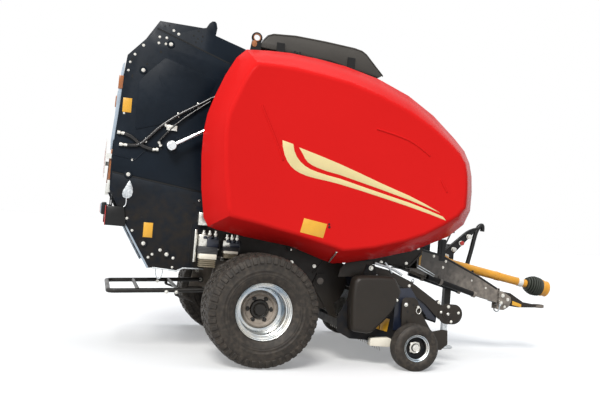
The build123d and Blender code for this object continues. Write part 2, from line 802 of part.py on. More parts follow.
# ---------------------------------------------------------------- tailgate
tailgate_outline = [
    at(-975, 2829),
    at(-1078, 2660),
    at(-1217, 2503),
    at(-1240, 2142),
    at(-1276, 1641),
    at(-1270, 1360),
    at(-1116, 1081),
    at(-900, 731),
    at(-681, 712),
    at(-433, 746),
    at(-440, 1620),
    at(-215, 2300),
    at(-75, 2500),
    at(-85, 2600),
    at(-228, 2691),
    at(-496, 2772),
    at(-487, 2837),
    at(-511, 2896),
    at(-559, 2870),
    at(-608, 2820),
]
EYE_X = -800  # lift cylinder's pin on the tailgate
EYE_Z = 1770
EYE_HALF = 28  # half the width of the rod's eye
with BuildPart() as right_tailgate_side:
    with BuildSketch(side_plane(tailgate_y)):
        with BuildLine():
            Polyline(*tailgate_outline, close=True)
        make_face()
    extrude(amount=TAILGATE_PLATE)
    with Locations(across(HINGE_X, HINGE_Z, -tailgate_y)):
        Cylinder(HINGE_PIN + PIN_GAP, 60, mode=Mode.SUBTRACT)
    boss_end = lift_y - EYE_HALF - SEAT
    with Locations(across(EYE_X, EYE_Z, -(tailgate_outer + boss_end) / 2)):
        Cylinder(38, boss_end - tailgate_outer)
keep_pair("tailgate_side", right_tailgate_side)

# tailgate cross members: x, z, width, height
LAMP_MEMBER_X = -1205
LAMP_MEMBER_WIDTH = 60
tailgate_members = [
    (-955, 2765, 60, 60),
    (-1222, 1880, 30, 90),
    (LAMP_MEMBER_X, 1375, LAMP_MEMBER_WIDTH, 90),
    (-700, 755, 110, 50),
]
with BuildPart() as tailgate_crossmembers:
    for x, z, width, height in tailgate_members:
        with Locations((AXLE_X + x, 0, z)):
            Box(width, 2 * tailgate_y, height)
            Box(width - 2 * TUBE_WALL, 2 * tailgate_y, height - 2 * TUBE_WALL, mode=Mode.SUBTRACT)
keep("tailgate_crossmembers", tailgate_crossmembers)
rear_rollers = [(x, z, ROLLER) for x, z in rear_corners] + [(-760, 850, 60)]
keep("tailgate_rollers", roller_set(rear_rollers, tailgate_y - SEAT))
keep("tailgate_belts", belt_set(rear_corners))

# lamps on a bar behind the tailgate
LAMP_BAR_FRONT = -1246
LAMP_BAR_Z = 1200
LAMP_BAR_DEPTH = 36
LAMP_BAR_HEIGHT = 70
LAMP_BAR_WALL = 4
LAMP_PITCH = 1060  # between the rear lamps
lamp_bar_length = 2 * CHAMBER_HALF + 70
with BuildPart() as lamp_bar:
    with Locations((AXLE_X + LAMP_BAR_FRONT - LAMP_BAR_DEPTH / 2, 0, LAMP_BAR_Z)):
        Box(LAMP_BAR_DEPTH, lamp_bar_length, LAMP_BAR_HEIGHT)
        Box(
            LAMP_BAR_DEPTH - 2 * LAMP_BAR_WALL,
            lamp_bar_length,
            LAMP_BAR_HEIGHT - 2 * LAMP_BAR_WALL,
            mode=Mode.SUBTRACT,
        )
    post_depth = LAMP_MEMBER_X - LAMP_MEMBER_WIDTH / 2 - SEAT - LAMP_BAR_FRONT
    with Locations((AXLE_X + LAMP_BAR_FRONT + post_depth / 2, 0, 1290)):
        with GridLocations(1, 1000, 1, 2):
            Box(post_depth, 60, 240)
    with Locations((AXLE_X + LAMP_BAR_FRONT - 4, 0, LAMP_BAR_Z)):
        with GridLocations(1, 1000, 1, 2):
            Box(10, 60, 60)
keep("lamp_bar", lamp_bar)

with BuildPart() as rear_lamps:
    with Locations((AXLE_X + LAMP_BAR_FRONT - LAMP_BAR_DEPTH - 20, 0, LAMP_BAR_Z)):
        with GridLocations(1, LAMP_PITCH, 1, 2):
            Box(40, 220, 100)
    fillet(rear_lamps.edges().filter_by(Axis.X), 12)
keep("rear_lamps", rear_lamps)

BOARD_Z = 1640
BOARD_HALF = 70
BOARD_SHEET = 5
BOARD_ARM = 30
board_y = tailgate_y - BOARD_HALF - 2
board_arm_rear = -REAR_REACH + BOARD_SHEET - 1
board_arm_length = 108
with BuildPart() as marker_boards:
    for side in (-1, 1):
        with Locations((AXLE_X - REAR_REACH + BOARD_SHEET / 2, side * board_y, BOARD_Z)):
            Box(BOARD_SHEET, 2 * BOARD_HALF, 280)
        arm_y = side * (tailgate_y - BOARD_ARM / 2 - SEAT)
        with Locations((AXLE_X + board_arm_rear + board_arm_length / 2, arm_y, BOARD_Z)):
            Box(board_arm_length, BOARD_ARM, 40)
keep("marker_boards", marker_boards)

# ---------------------------------------------------------------- lift cylinders
reach_x = EYE_X - LIFT_X
reach_z = EYE_Z - LIFT_Z
lift_length = hypot(reach_x, reach_z)


def lift_plane(distance):
    """A plane square to the right-hand lift cylinder, at a distance from its pivot."""
    along = Vector(reach_x / lift_length, 0, reach_z / lift_length)
    pivot = Vector(AXLE_X + LIFT_X, -lift_y, LIFT_Z)
    return Plane(origin=pivot + along * distance, x_dir=(0, 1, 0), z_dir=along)


BARREL = 35
BARREL_EYE = 52
BORE = 26
LIFT_ROD = 18
ROD_EYE = 40
BARREL_START = 50  # along the cylinder, from its pivot
BARREL_END = 830
BORE_START = 80
PISTON_START = BORE_START + 30
GLAND = 30  # the barrel's closed end round the rod
with BuildPart() as lift_barrel:
    with BuildSketch(lift_plane(BARREL_START)):
        Circle(BARREL)
    extrude(amount=BARREL_END - BARREL_START)
    with BuildSketch(lift_plane(BORE_START)):
        Circle(BORE)
    extrude(amount=BARREL_END - GLAND - BORE_START, mode=Mode.SUBTRACT)
    with BuildSketch(lift_plane(BORE_START + 20)):
        Circle(LIFT_ROD + PIN_GAP)
    extrude(amount=BARREL_END, mode=Mode.SUBTRACT)
    with Locations(across(LIFT_X, LIFT_Z, -lift_y)):
        Cylinder(BARREL_EYE, 2 * EYE_HALF)
        Cylinder(LIFT_PIN + PIN_GAP, 4 * EYE_HALF, mode=Mode.SUBTRACT)
keep_pair("lift_barrel", lift_barrel)

with BuildPart() as lift_rod:
    with BuildSketch(lift_plane(PISTON_START)):
        Circle(BORE - PIN_GAP)
    extrude(amount=40)
    with BuildSketch(lift_plane(PISTON_START + 10)):
        Circle(LIFT_ROD)
    extrude(amount=lift_length - PISTON_START - ROD_EYE)
    with Locations(across(EYE_X, EYE_Z, -lift_y)):
        Cylinder(ROD_EYE, 2 * EYE_HALF)
        Cylinder(20, 4 * EYE_HALF, mode=Mode.SUBTRACT)
keep_pair("lift_rod", lift_rod)

# ---------------------------------------------------------------- side covers
COVER_DEPTH = 270  # from the hem out to the flat panel
COVER_SHEET = 6
COVER_HINGE_Z = 2590
COVER_ROD = 12
panel_y = hem_y + COVER_DEPTH
hem_outline = [
    at(-266, 2629),
    at(111, 2653),
    at(613, 2607),
    at(1224, 2423),
    at(1704, 2089),
    at(1902, 1784),
    at(1916, 1444),
    at(1714, 1191),
    at(1019, 944),
    at(631, 878),
    at(245, 1002),
    at(-467, 1115),
    at(-570, 1813),
    at(-503, 2196),
]
panel_outline = [
    at(-207, 2475),
    at(98, 2477),
    at(601, 2417),
    at(1120, 2260),
    at(1515, 2035),
    at(1704, 1837),
    at(1737, 1447),
    at(1560, 1280),
    at(922, 1040),
    at(643, 1005),
    at(240, 1110),
    at(-321, 1215),
    at(-423, 1900),
    at(-354, 2183),
]
STRAP = 30
STRAP_HEIGHT = 44
strap_stations = (35, 485)


def cover_loft(inset):
    """The space inside the cover's outline, or inside its sheet."""
    with BuildPart() as space:
        for y, outline in ((hem_y - inset / 6, hem_outline), (panel_y - inset, panel_outline)):
            with BuildSketch(side_plane(y)):
                with BuildLine():
                    Polyline(*outline, close=True)
                make_face()
                if inset:
                    offset(amount=-inset, kind=Kind.INTERSECTION)
        loft(ruled=True)
        if inset:
            for x in strap_stations:
                with Locations((AXLE_X + x, -hem_y - 25, COVER_HINGE_Z)):
                    Box(STRAP, 70, 2 * STRAP_HEIGHT + 2, mode=Mode.SUBTRACT)
    return space


with BuildPart() as cover_shell:
    add(cover_loft(0).part)
    add(cover_loft(COVER_SHEET).part, mode=Mode.SUBTRACT)
    strap_in = cover_hinge_y - 20
    strap_out = hem_y + 5
    for x in strap_stations:
        with Locations((AXLE_X + x, -(strap_in + strap_out) / 2, COVER_HINGE_Z)):
            Box(STRAP, strap_out - strap_in, STRAP_HEIGHT)
    with Locations(Location((AXLE_X + 250, -cover_hinge_y, COVER_HINGE_Z), (0, 90, 0))):
        Cylinder(COVER_ROD + PIN_GAP, 700, mode=Mode.SUBTRACT)
keep_pair("cover", cover_shell)

with BuildPart() as right_cover_hinge:
    with Locations(Location((AXLE_X + 260, -cover_hinge_y, COVER_HINGE_Z), (0, 90, 0))):
        Cylinder(COVER_ROD, 530)
    for x in (120, 400):
        with Locations((AXLE_X + x, -(wall_outer + cover_hinge_y + 20) / 2, COVER_HINGE_Z - 25)):
            Box(24, cover_hinge_y + 20 - wall_outer, 70)
keep_both("cover_hinges", right_cover_hinge)

# ---------------------------------------------------------------- feed rotor and its floor
DRUM = 85
STAR = 20
STAR_PITCH = 90
STARS = 13
with BuildPart() as feed_rotor:
    with Locations(across(ROTOR_X, ROTOR_Z)):
        Cylinder(DRUM, 2 * (CHAMBER_HALF - 10))
        Cylinder(DRUM - 10, 2 * (CHAMBER_HALF - 30), mode=Mode.SUBTRACT)
        Cylinder(ROTOR_SHAFT, 2 * collar_out)
    for number in range(STARS):
        middle = (number - (STARS - 1) / 2) * STAR_PITCH
        turn = number * 360 / STARS
        with BuildSketch(side_plane(middle - STAR / 2)):
            with Locations(at(ROTOR_X, ROTOR_Z)):
                with PolarLocations(0, 3, start_angle=turn):
                    Polygon((40, -70), (ROTOR_RADIUS, -8), (ROTOR_RADIUS - 5, 18), (20, 78), align=None)
        extrude(amount=STAR)
keep("feed_rotor", feed_rotor)

with BuildPart() as rotor_floor:
    with BuildSketch(side_plane(-CHAMBER_HALF + SEAT)):
        with BuildLine():
            inner = CenterArc(at(ROTOR_X, ROTOR_Z), lobe - 8, 185, 120)
            outer = CenterArc(at(ROTOR_X, ROTOR_Z), lobe, 185, 120)
            Line(inner @ 0, outer @ 0)
            Line(inner @ 1, outer @ 1)
        make_face()
    extrude(amount=2 * CHAMBER_HALF - 2 * SEAT)
keep("rotor_floor", rotor_floor)

# ---------------------------------------------------------------- pickup
BEAM_X = 765
BEAM_Z = 360
BEAM = 70
REEL_SPINDLE = 20
GUARD_PIVOT_X = 1000
GUARD_PIVOT_Z = 860
GUARD_PIN = 12
BAND_BAR = 18
BAND_BAR_FRONT = 903  # the bar that carries the bands' top ends
BAND_TOP = 650

pickup_side_outline = [
    at(730, 290),
    at(725, 420),
    at(860, 700),
    at(930, 790),
    at(965, 890),
    at(1035, 890),
    at(1060, 800),
    at(1220, 780),
    at(1350, 640),
    at(1450, 470),
    at(1400, 300),
    at(1250, 215),
    at(850, 230),
]
with BuildPart() as pickup_side:
    with BuildSketch(side_plane(PICKUP_HALF)):
        with BuildLine():
            Polyline(*pickup_side_outline, close=True)
        make_face()
    extrude(amount=SIDE_SHEET)
    with Locations(across(GUARD_PIVOT_X, GUARD_PIVOT_Z, -PICKUP_HALF)):
        Cylinder(GUARD_PIN + PIN_GAP, 60, mode=Mode.SUBTRACT)
    with Locations(across(REEL_X, REEL_Z, -PICKUP_HALF)):
        Cylinder(REEL_SPINDLE + PIN_GAP, 60, mode=Mode.SUBTRACT)
keep_both("pickup_sides", pickup_side)

arm_y = collar_out - 20
with BuildPart() as pickup_arm:
    with BuildSketch(side_plane(arm_y)):
        with BuildLine():
            Polyline(
                at(ROTOR_X - 70, ROTOR_Z - 30),
                at(ROTOR_X - 30, ROTOR_Z + 65),
                at(ROTOR_X + 40, ROTOR_Z + 65),
                at(ROTOR_X + 80, ROTOR_Z),
                at(BEAM_X + BEAM / 2, BEAM_Z + BEAM / 2),
                at(BEAM_X - BEAM / 2, BEAM_Z + BEAM / 2),
                close=True,
            )
        make_face()
    extrude(amount=12)
    with Locations(across(ROTOR_X, ROTOR_Z, -arm_y)):
        Cylinder(PICKUP_COLLAR + PIN_GAP, 60, mode=Mode.SUBTRACT)

with BuildPart() as pickup_frame:
    add(pickup_arm.part)
    add(mirror(pickup_arm.part, about=Plane.XZ))
    with Locations((AXLE_X + BEAM_X, 0, BEAM_Z)):
        Box(BEAM, 2 * PICKUP_HALF, BEAM)
        Box(BEAM - 2 * TUBE_WALL, 2 * PICKUP_HALF, BEAM - 2 * TUBE_WALL, mode=Mode.SUBTRACT)
    with Locations((AXLE_X + BAND_BAR_FRONT - BAND_BAR / 2, 0, BAND_TOP - 1)):
        Box(BAND_BAR, 2 * PICKUP_HALF, 30)
keep("pickup_frame", pickup_frame)

# curved bands between the tines
BAND = 4
BAND_RADIUS = 190
BAND_WIDTH = 48
BAND_PITCH = 68
BANDS = 2 * int((PICKUP_HALF - 60) / BAND_PITCH) + 1
top_rear = at(BAND_BAR_FRONT + BAND / 2, BAND_TOP)
low_rear = at(BEAM_X + (BEAM + BAND) / 2, 335)
with BuildPart() as pickup_bands:
    for number in range(BANDS):
        middle = (number - (BANDS - 1) / 2) * BAND_PITCH
        with BuildSketch(side_plane(middle - BAND_WIDTH / 2)):
            with BuildLine():
                front = CenterArc(at(REEL_X, REEL_Z), BAND_RADIUS, -100, 225)
                Line(front @ 1, top_rear)
                Line(front @ 0, low_rear)
            trace(line_width=BAND)
        extrude(amount=BAND_WIDTH)
keep("pickup_bands", pickup_bands)

# reel: shaft, discs, four tine bars and their tines
BARS = 4
BAR_CIRCLE = 125
BAR = 14
TINE = 3
REEL_DISC = 10
reel_half = PICKUP_HALF - 20
tine_length = TINE_REACH - BAR_CIRCLE
with BuildPart() as pickup_reel:
    with Locations(across(REEL_X, REEL_Z)):
        Cylinder(30, 2 * reel_half)
        Cylinder(REEL_SPINDLE, 2 * (PICKUP_HALF + SIDE_SHEET))
    for y in (-reel_half + REEL_DISC / 2, 0, reel_half - REEL_DISC / 2):
        with Locations(across(REEL_X, REEL_Z, y)):
            Cylinder(BAR_CIRCLE + 20, REEL_DISC)
    with Locations(across(REEL_X, REEL_Z)):
        with PolarLocations(BAR_CIRCLE, BARS, start_angle=20):
            Cylinder(BAR, 2 * reel_half)
    for number in range(BANDS - 1):
        middle = (number - (BANDS - 2) / 2) * BAND_PITCH
        with Locations(across(REEL_X, REEL_Z, middle)):
            with PolarLocations(BAR_CIRCLE + tine_length / 2, BARS, start_angle=20):
                Cylinder(TINE, tine_length, rotation=(0, 90, 0))
keep("pickup_reel", pickup_reel)

# end boxes over the reel's drives
END_BOX_SHEET = 4
end_box_in = PICKUP_HALF + SIDE_SHEET + SEAT
end_box_out = PICKUP_HALF + 145
box_outline = [
    at(803, 582),
    at(823, 773),
    at(931, 797),
    at(1182, 803),
    at(1258, 684),
    at(1190, 487),
    at(1010, 296),
    at(826, 307),
]
with BuildPart() as end_box:
    with BuildSketch(side_plane(end_box_in)):
        with BuildLine():
            Polyline(*box_outline, close=True)
        make_face()
    extrude(amount=end_box_out - end_box_in)
    fillet(end_box.faces().sort_by(Axis.Y)[0].edges(), 20)
    offset(amount=-END_BOX_SHEET, openings=end_box.faces().sort_by(Axis.Y)[-1])
keep_both("pickup_end_boxes", end_box)

# gauge wheel arms with the runner in front of the wheel
ARM_PLATE = 10
gauge_arm_y = PICKUP_HALF + 80
side_outer = PICKUP_HALF + SIDE_SHEET
with BuildPart() as gauge_arm:
    with BuildSketch(side_plane(gauge_arm_y)):
        with BuildLine():
            Polyline(
                at(1290, 600),
                at(1380, 620),
                at(1460, 470),
                at(1590, 300),
                at(1640, 190),
                at(1560, 170),
                at(1440, 170),
                at(1340, 160),
                at(1300, 400),
                close=True,
            )
        make_face()
    extrude(amount=ARM_PLATE)
    with Locations((AXLE_X + 1345, -(side_outer + gauge_arm_y) / 2, 500)):
        Box(70, gauge_arm_y - side_outer, 140)
    spindle_out = -gauge_y + gauge_rim.disc + gauge_hub.cap - gauge_rim.plate - SEAT
    with Locations(across(GAUGE_X, GAUGE_RADIUS, -(gauge_arm_y + spindle_out) / 2)):
        Cylinder(gauge_hub.bore, spindle_out - gauge_arm_y)
keep_both("gauge_arms", gauge_arm)

# ---------------------------------------------------------------- wind guard and crop roller
CROP_X = 1780
CROP_Z = 486
CROP_ROLLER = 58
CROP_SHAFT = 15
GUARD_ARM = 10
GUARD_TUBE_X = 1250
GUARD_TUBE_Z = 742
GUARD_TUBE_RADIUS = 20
guard_arm_y = PICKUP_HALF - 15
with BuildPart() as wind_guard:
    for side, start in ((-1, -guard_arm_y - GUARD_ARM), (1, guard_arm_y)):
        with BuildSketch(side_plane(start)):
            with BuildLine():
                Polyline(
                    at(GUARD_PIVOT_X - 35, GUARD_PIVOT_Z - 25),
                    at(GUARD_PIVOT_X - 25, GUARD_PIVOT_Z + 32),
                    at(1180, 850),
                    at(1400, 760),
                    at(1720, 560),
                    at(1700, 430),
                    at(1560, 560),
                    at(1380, 680),
                    at(1180, 770),
                    close=True,
                )
            make_face()
            with Locations(at(CROP_X, CROP_Z)):
                Circle(85)
                Circle(CROP_SHAFT + PIN_GAP, mode=Mode.SUBTRACT)
        extrude(amount=GUARD_ARM)
        with Locations(across(GUARD_PIVOT_X, GUARD_PIVOT_Z, side * (guard_arm_y + 20))):
            Cylinder(GUARD_PIN, 36)
    with Locations(across(GUARD_TUBE_X, GUARD_TUBE_Z)):
        Cylinder(GUARD_TUBE_RADIUS, 2 * guard_arm_y)
    with BuildSketch(side_plane(-guard_arm_y)):
        with BuildLine():
            Polyline(at(GUARD_TUBE_X + 12, GUARD_TUBE_Z + 8), at(1430, 685), at(1640, 560))
        trace(line_width=4)
    extrude(amount=2 * guard_arm_y)
keep("wind_guard", wind_guard)

with BuildPart() as crop_roller:
    with Locations(across(CROP_X, CROP_Z)):
        Cylinder(CROP_ROLLER, 2 * (guard_arm_y - 8))
        Cylinder(CROP_ROLLER - 5, 2 * (guard_arm_y - 20), mode=Mode.SUBTRACT)
        Cylinder(CROP_SHAFT, 2 * (guard_arm_y + GUARD_ARM))
keep("crop_roller", crop_roller)

# ---------------------------------------------------------------- bale ramp
RAMP_TUBE = 20
RAMP_REAR = -1230
RAMP_Z = 505
with BuildPart() as bale_ramp:
    with BuildLine() as ramp_route:
        FilletPolyline(
            (AXLE_X + RAMP_PIVOT_X, -ramp_half + RAMP_TUBE, RAMP_PIVOT_Z),
            (AXLE_X + RAMP_REAR + RAMP_TUBE, -ramp_half + RAMP_TUBE, RAMP_Z),
            (AXLE_X + RAMP_REAR + RAMP_TUBE, ramp_half - RAMP_TUBE, RAMP_Z),
            (AXLE_X + RAMP_PIVOT_X, ramp_half - RAMP_TUBE, RAMP_PIVOT_Z),
            radius=60,
        )
    with BuildSketch(Plane(origin=ramp_route.line @ 0, z_dir=ramp_route.line % 0)):
        Circle(RAMP_TUBE)
    sweep()
    for x in (-960, -620):
        rise = (RAMP_PIVOT_Z - RAMP_Z) * (x - RAMP_REAR) / (RAMP_PIVOT_X - RAMP_REAR)
        with Locations(across(x, RAMP_Z + rise)):
            Cylinder(16, 2 * (ramp_half - RAMP_TUBE))
    for side in (-1, 1):
        with Locations(across(RAMP_PIVOT_X, RAMP_PIVOT_Z, side * (ramp_half - RAMP_TUBE + 12))):
            Cylinder(30, 44)
            Cylinder(RAMP_PIN + PIN_GAP, 60, mode=Mode.SUBTRACT)
keep("bale_ramp", bale_ramp)

# ---------------------------------------------------------------- write
os.makedirs("parts", exist_ok=True)
for name, part in made.items():
    export_step(part, "parts/" + name + ".step")
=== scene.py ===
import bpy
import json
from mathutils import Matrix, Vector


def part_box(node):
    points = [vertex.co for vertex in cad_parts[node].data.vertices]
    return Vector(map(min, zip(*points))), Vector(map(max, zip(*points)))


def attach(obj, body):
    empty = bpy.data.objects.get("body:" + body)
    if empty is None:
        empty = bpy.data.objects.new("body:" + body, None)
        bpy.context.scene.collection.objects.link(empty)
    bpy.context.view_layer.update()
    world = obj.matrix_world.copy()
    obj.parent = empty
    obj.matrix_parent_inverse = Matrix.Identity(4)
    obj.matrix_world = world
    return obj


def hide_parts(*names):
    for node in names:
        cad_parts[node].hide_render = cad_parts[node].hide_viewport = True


bl_info = {
    "name": "Round baler", "version": (1, 0, 0), "blender": (4, 5, 0), "location": "View3D > Sidebar > Baler",
    "description": "Covers, wheels, tailgate, pickup and drawbar detail of a towed round baler",
    "category": "Object"
}

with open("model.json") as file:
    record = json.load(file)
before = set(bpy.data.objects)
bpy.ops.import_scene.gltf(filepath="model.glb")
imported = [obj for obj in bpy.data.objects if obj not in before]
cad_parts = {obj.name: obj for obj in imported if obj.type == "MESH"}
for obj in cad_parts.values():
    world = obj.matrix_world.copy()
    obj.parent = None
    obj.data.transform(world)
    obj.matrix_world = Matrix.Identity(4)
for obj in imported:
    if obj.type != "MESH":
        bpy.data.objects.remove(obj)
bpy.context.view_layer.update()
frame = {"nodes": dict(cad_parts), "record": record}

import json
from math import cos, pi, radians, sin

import bmesh
import bpy
from mathutils import Matrix, Vector

MM = 0.001
low_corner, high_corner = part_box("right_tyre")
AXLE = (low_corner.x + high_corner.x) / 2  # every station below is in mm forwards from the axle
RIGHT = Vector((0, -1, 0))
LEFT = Vector((0, 1, 0))


def place(x, y, z):
    """A point from mm forwards of the axle, to the left and above the ground."""
    return Vector((AXLE + x * MM, y * MM, z * MM))


# ---------------------------------------------------------------- sizes and colours
def linear(code):
    """An sRGB hex colour as linear RGBA."""
    parts = [int(code[i : i + 2], 16) / 255 for i in (1, 3, 5)]
    return [c / 12.92 if c <= 0.04045 else ((c + 0.055) / 1.055) ** 2.4 for c in parts] + [1.0]


def colour_size(label, words, code):
    return bpy.props.FloatVectorProperty(
        name=label, description=words, subtype="COLOR", size=4, min=0, max=1, default=linear(code),
    )


def length_size(label, words, value):
    return bpy.props.FloatProperty(
        name=label, description=words, subtype="DISTANCE", unit="LENGTH", min=0, default=value * MM,
    )


class BalerSizes(bpy.types.PropertyGroup):
    """Sizes of the detail."""

    cover_edge: length_size("Cover edge", "Round edge between a cover's panel and its slopes", 26)
    cover_sheet: length_size("Cover sheet", "Thickness of a moulded cover", 6)
    tread: length_size("Tread depth", "Height of the road tyres' blocks", 12)
    tread_blocks: bpy.props.IntProperty(
        name="Tread blocks", description="Blocks round each row of a road tyre", min=12, default=46,
    )
    hose: length_size("Hose", "Radius of the tailgate's hydraulic hoses", 16)
    decal: length_size("Decal", "How far stripes and blank labels stand out", 1.0)


class BalerColours(bpy.types.PropertyGroup):
    """Colours of the finishes."""

    cover: colour_size("Cover", "Moulded side covers", "#ce1f1e")
    stripe: colour_size("Stripe", "Curved stripes on the covers", "#dccb92")
    dark: colour_size("Dark paint", "Tailgate and chassis sides", "#131b24")
    grey: colour_size("Grey paint", "Drawbar and pickup frame", "#3b3732")
    guard: colour_size("Shaft guard", "Plastic guards of the drive shaft", "#d8982a")
    label: colour_size("Label", "Blank labels", "#dfa62e")
    rim: colour_size("Rim", "Wheel rims", "#dcd8cf")


# ---------------------------------------------------------------- modelling
def rest():
    """Leave edit mode with nothing selected."""
    if bpy.context.mode != "OBJECT":
        bpy.ops.object.mode_set(mode="OBJECT")
    bpy.ops.object.select_all(action="DESELECT")


def hold(piece):
    """Make a piece the only selected object."""
    rest()
    piece.select_set(True)
    bpy.context.view_layer.objects.active = piece


def edit(piece):
    """Open a piece in edit mode with all of it selected."""
    hold(piece)
    bpy.ops.object.mode_set(mode="EDIT")
    bpy.ops.mesh.select_all(action="SELECT")


def pick(piece, kind, wanted):
    """Select only the faces or edges that a test wants, in edit mode."""
    bpy.ops.mesh.select_all(action="DESELECT")
    mesh = bmesh.from_edit_mesh(piece.data)
    mesh.normal_update()
    for part in getattr(mesh, kind):
        if wanted(part):
            part.select_set(True)
    mesh.select_flush(True)
    bmesh.update_edit_mesh(piece.data)


def shaped(piece, kind, **settings):
    """Add a modifier with its settings and apply it."""
    hold(piece)
    modifier = piece.modifiers.new(kind.lower(), kind)
    for key, value in settings.items():
        setattr(modifier, key, value)
    bpy.ops.object.modifier_apply(modifier=modifier.name)


def smooth(piece, angle=32):
    hold(piece)
    bpy.ops.object.shade_smooth_by_angle(angle=radians(angle))


def softened(piece, width, segments=2, angle=28):
    """Round a piece's sharp edges."""
    shaped(
        piece, "BEVEL", width=width * MM, segments=segments, limit_method="ANGLE", angle_limit=radians(angle),
        use_clamp_overlap=True,
    )
    smooth(piece)


def tidied(piece):
    """Merge doubles and point the faces outwards."""
    edit(piece)
    bpy.ops.mesh.remove_doubles(threshold=0.00002)
    bpy.ops.mesh.delete_loose()
    bpy.ops.mesh.select_all(action="SELECT")
    bpy.ops.mesh.normals_make_consistent(inside=False)
    rest()


def lofted(name, sections):
    """A closed piece through side-view sections: rows of station across the machine and outline."""
    rest()
    y, outline = sections[0]
    bpy.ops.mesh.primitive_circle_add(vertices=len(outline), fill_type="NGON")
    piece = bpy.context.object
    piece.name = name
    now = [place(x, y, z) for x, z in outline]
    for vertex, spot in zip(piece.data.vertices, now):
        vertex.co = spot
    edit(piece)
    for y_next, outline_next in sections[1:]:
        step = Vector((0, (y_next - y) * MM, 0))
        bpy.ops.mesh.extrude_region_move(TRANSFORM_OT_translate={"value": step})
        goals = [place(x, y_next, z) for x, z in outline_next]
        mesh = bmesh.from_edit_mesh(piece.data)
        for vertex in mesh.verts:
            if vertex.select:
                nearest = min(range(len(now)), key=lambda i: (vertex.co - step - now[i]).length)
                vertex.co = goals[nearest]
        bmesh.update_edit_mesh(piece.data)
        y, now = y_next, goals
    rest()
    tidied(piece)
    return piece


def plate(name, outline, inner, outer, edge=2.0):
    """A flat piece cut to a side-view outline, between two stations across the machine."""
    piece = lofted(name, [(inner, outline), (outer, outline)])
    if edge:
        softened(piece, edge)
    return piece


def block(name, low, high, edge=3.0, segments=2):
    """A rectangular piece between two corners, with round edges."""
    rest()
    a = place(*low)
    b = place(*high)
    bpy.ops.mesh.primitive_cube_add(size=1, location=(a + b) / 2, scale=b - a)
    piece = bpy.context.object
    piece.name = name
    bpy.ops.object.transform_apply(location=True, rotation=True, scale=True)
    tidied(piece)
    softened(piece, edge, segments)
    return piece


def facing(direction, spot):
    """The move that stands a piece, made on the ground's middle along +Z, at a spot."""
    aim = Vector((0, 0, 1)).rotation_difference(Vector(direction)).to_matrix().to_4x4()
    return Matrix.Translation(spot) @ aim


def turned(name, profile, start, direction, steps=48, angle=32):
    """A round piece: a closed profile of rows along and radius, in mm, turned about a line."""
    rest()
    bpy.ops.mesh.primitive_circle_add(vertices=len(profile), fill_type="NOTHING")
    piece = bpy.context.object
    piece.name = name
    for vertex, (along, radius) in zip(piece.data.vertices, profile):
        vertex.co = (radius * MM, 0, along * MM)
    edit(piece)
    bpy.ops.mesh.spin(steps=steps, angle=2 * pi, center=(0, 0, 0), axis=(0, 0, 1))
    rest()
    tidied(piece)
    piece.data.transform(facing(direction, start))
    smooth(piece, angle)
    return piece


def tube(name, points, radius, order=3, sides=3):
    """A bent rod, pipe or hose along a smooth line through its control points."""
    rest()
    bpy.ops.curve.primitive_nurbs_path_add()
    piece = bpy.context.object
    piece.name = name
    line = piece.data
    line.splines.clear()
    spline = line.splines.new("NURBS")
    spline.points.add(len(points) - 1)
    for knot, point in zip(spline.points, points):
        knot.co = (*place(*point), 1)
    spline.order_u = order
    spline.use_endpoint_u = True
    line.bevel_depth = radius * MM
    line.bevel_resolution = sides
    line.resolution_u = 10
    line.use_fill_caps = True
    hold(piece)
    bpy.ops.object.convert(target="MESH")
    piece = bpy.context.object
    tidied(piece)
    smooth(piece, 50)
    return piece


def copied(name, source, moves):
    """Copies of one piece, each with its own mesh, moved and joined; the source goes."""
    made = []
    for move in moves:
        twin = source.copy()
        twin.data = source.data.copy()
        twin.data.transform(move)
        if move.determinant() < 0:
            twin.data.flip_normals()
        bpy.context.collection.objects.link(twin)
        made.append(twin)
    bpy.data.objects.remove(source)
    return joined(name, made)


def joined(name, pieces):
    rest()
    for piece in pieces:
        piece.select_set(True)
    bpy.context.view_layer.objects.active = pieces[0]
    if len(pieces) > 1:
        bpy.ops.object.join()
    piece = bpy.context.view_layer.objects.active
    piece.name = name
    return piece


MIRROR = Matrix.Diagonal((1, -1, 1, 1))


def both(piece):
    """A right-hand piece joined with its left-hand twin."""
    return copied(piece.name, piece, [Matrix.Identity(4), MIRROR])


# finishes that several pieces share: the part's material slot and the material made below
BLACK = ("black_paint", "stoving_black")
BOARD = ("board_white", "board_film")
CAST = ("cast_grey", "cast_iron_grey")
CHASSIS_GREY = ("grey_paint", "chassis_enamel")
DULL_GREY = ("grey_paint", "wall_enamel")
GALVANISED = ("galvanised", "galvanised_zinc")
GUARD = ("guard_yellow", "guard_plastic")
HOSE = ("black_paint", "hose_rubber")
LABEL = ("guard_yellow", "yellow_film")
LENS = ("lamp_red", "lamp_lens")
NAVY = ("dark_paint", "navy_plastic")
NYLON = ("board_white", "cream_nylon")
PANEL_DARK = ("dark_paint", "powder_coat_dark")
RED_FILM = ("lamp_red", "red_film")
REFLECTOR = ("lamp_red", "amber_film")
SILVER = ("silver_rim", "wheel_enamel")
TYRE = ("tyre_rubber", "worn_tyre_rubber")
WALL_DARK = ("dark_paint", "wall_enamel")
ZINC = ("zinc_hub", "bright_zinc")


def finished(piece, body, finish, *nodes):
    """Give a piece its finish, its body and the nodes that it stands for."""
    slot, material = finish
    piece.data.materials.clear()
    piece.data.materials.append(bpy.data.materials[material])
    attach(piece, body)
    if nodes:
        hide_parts(*nodes)


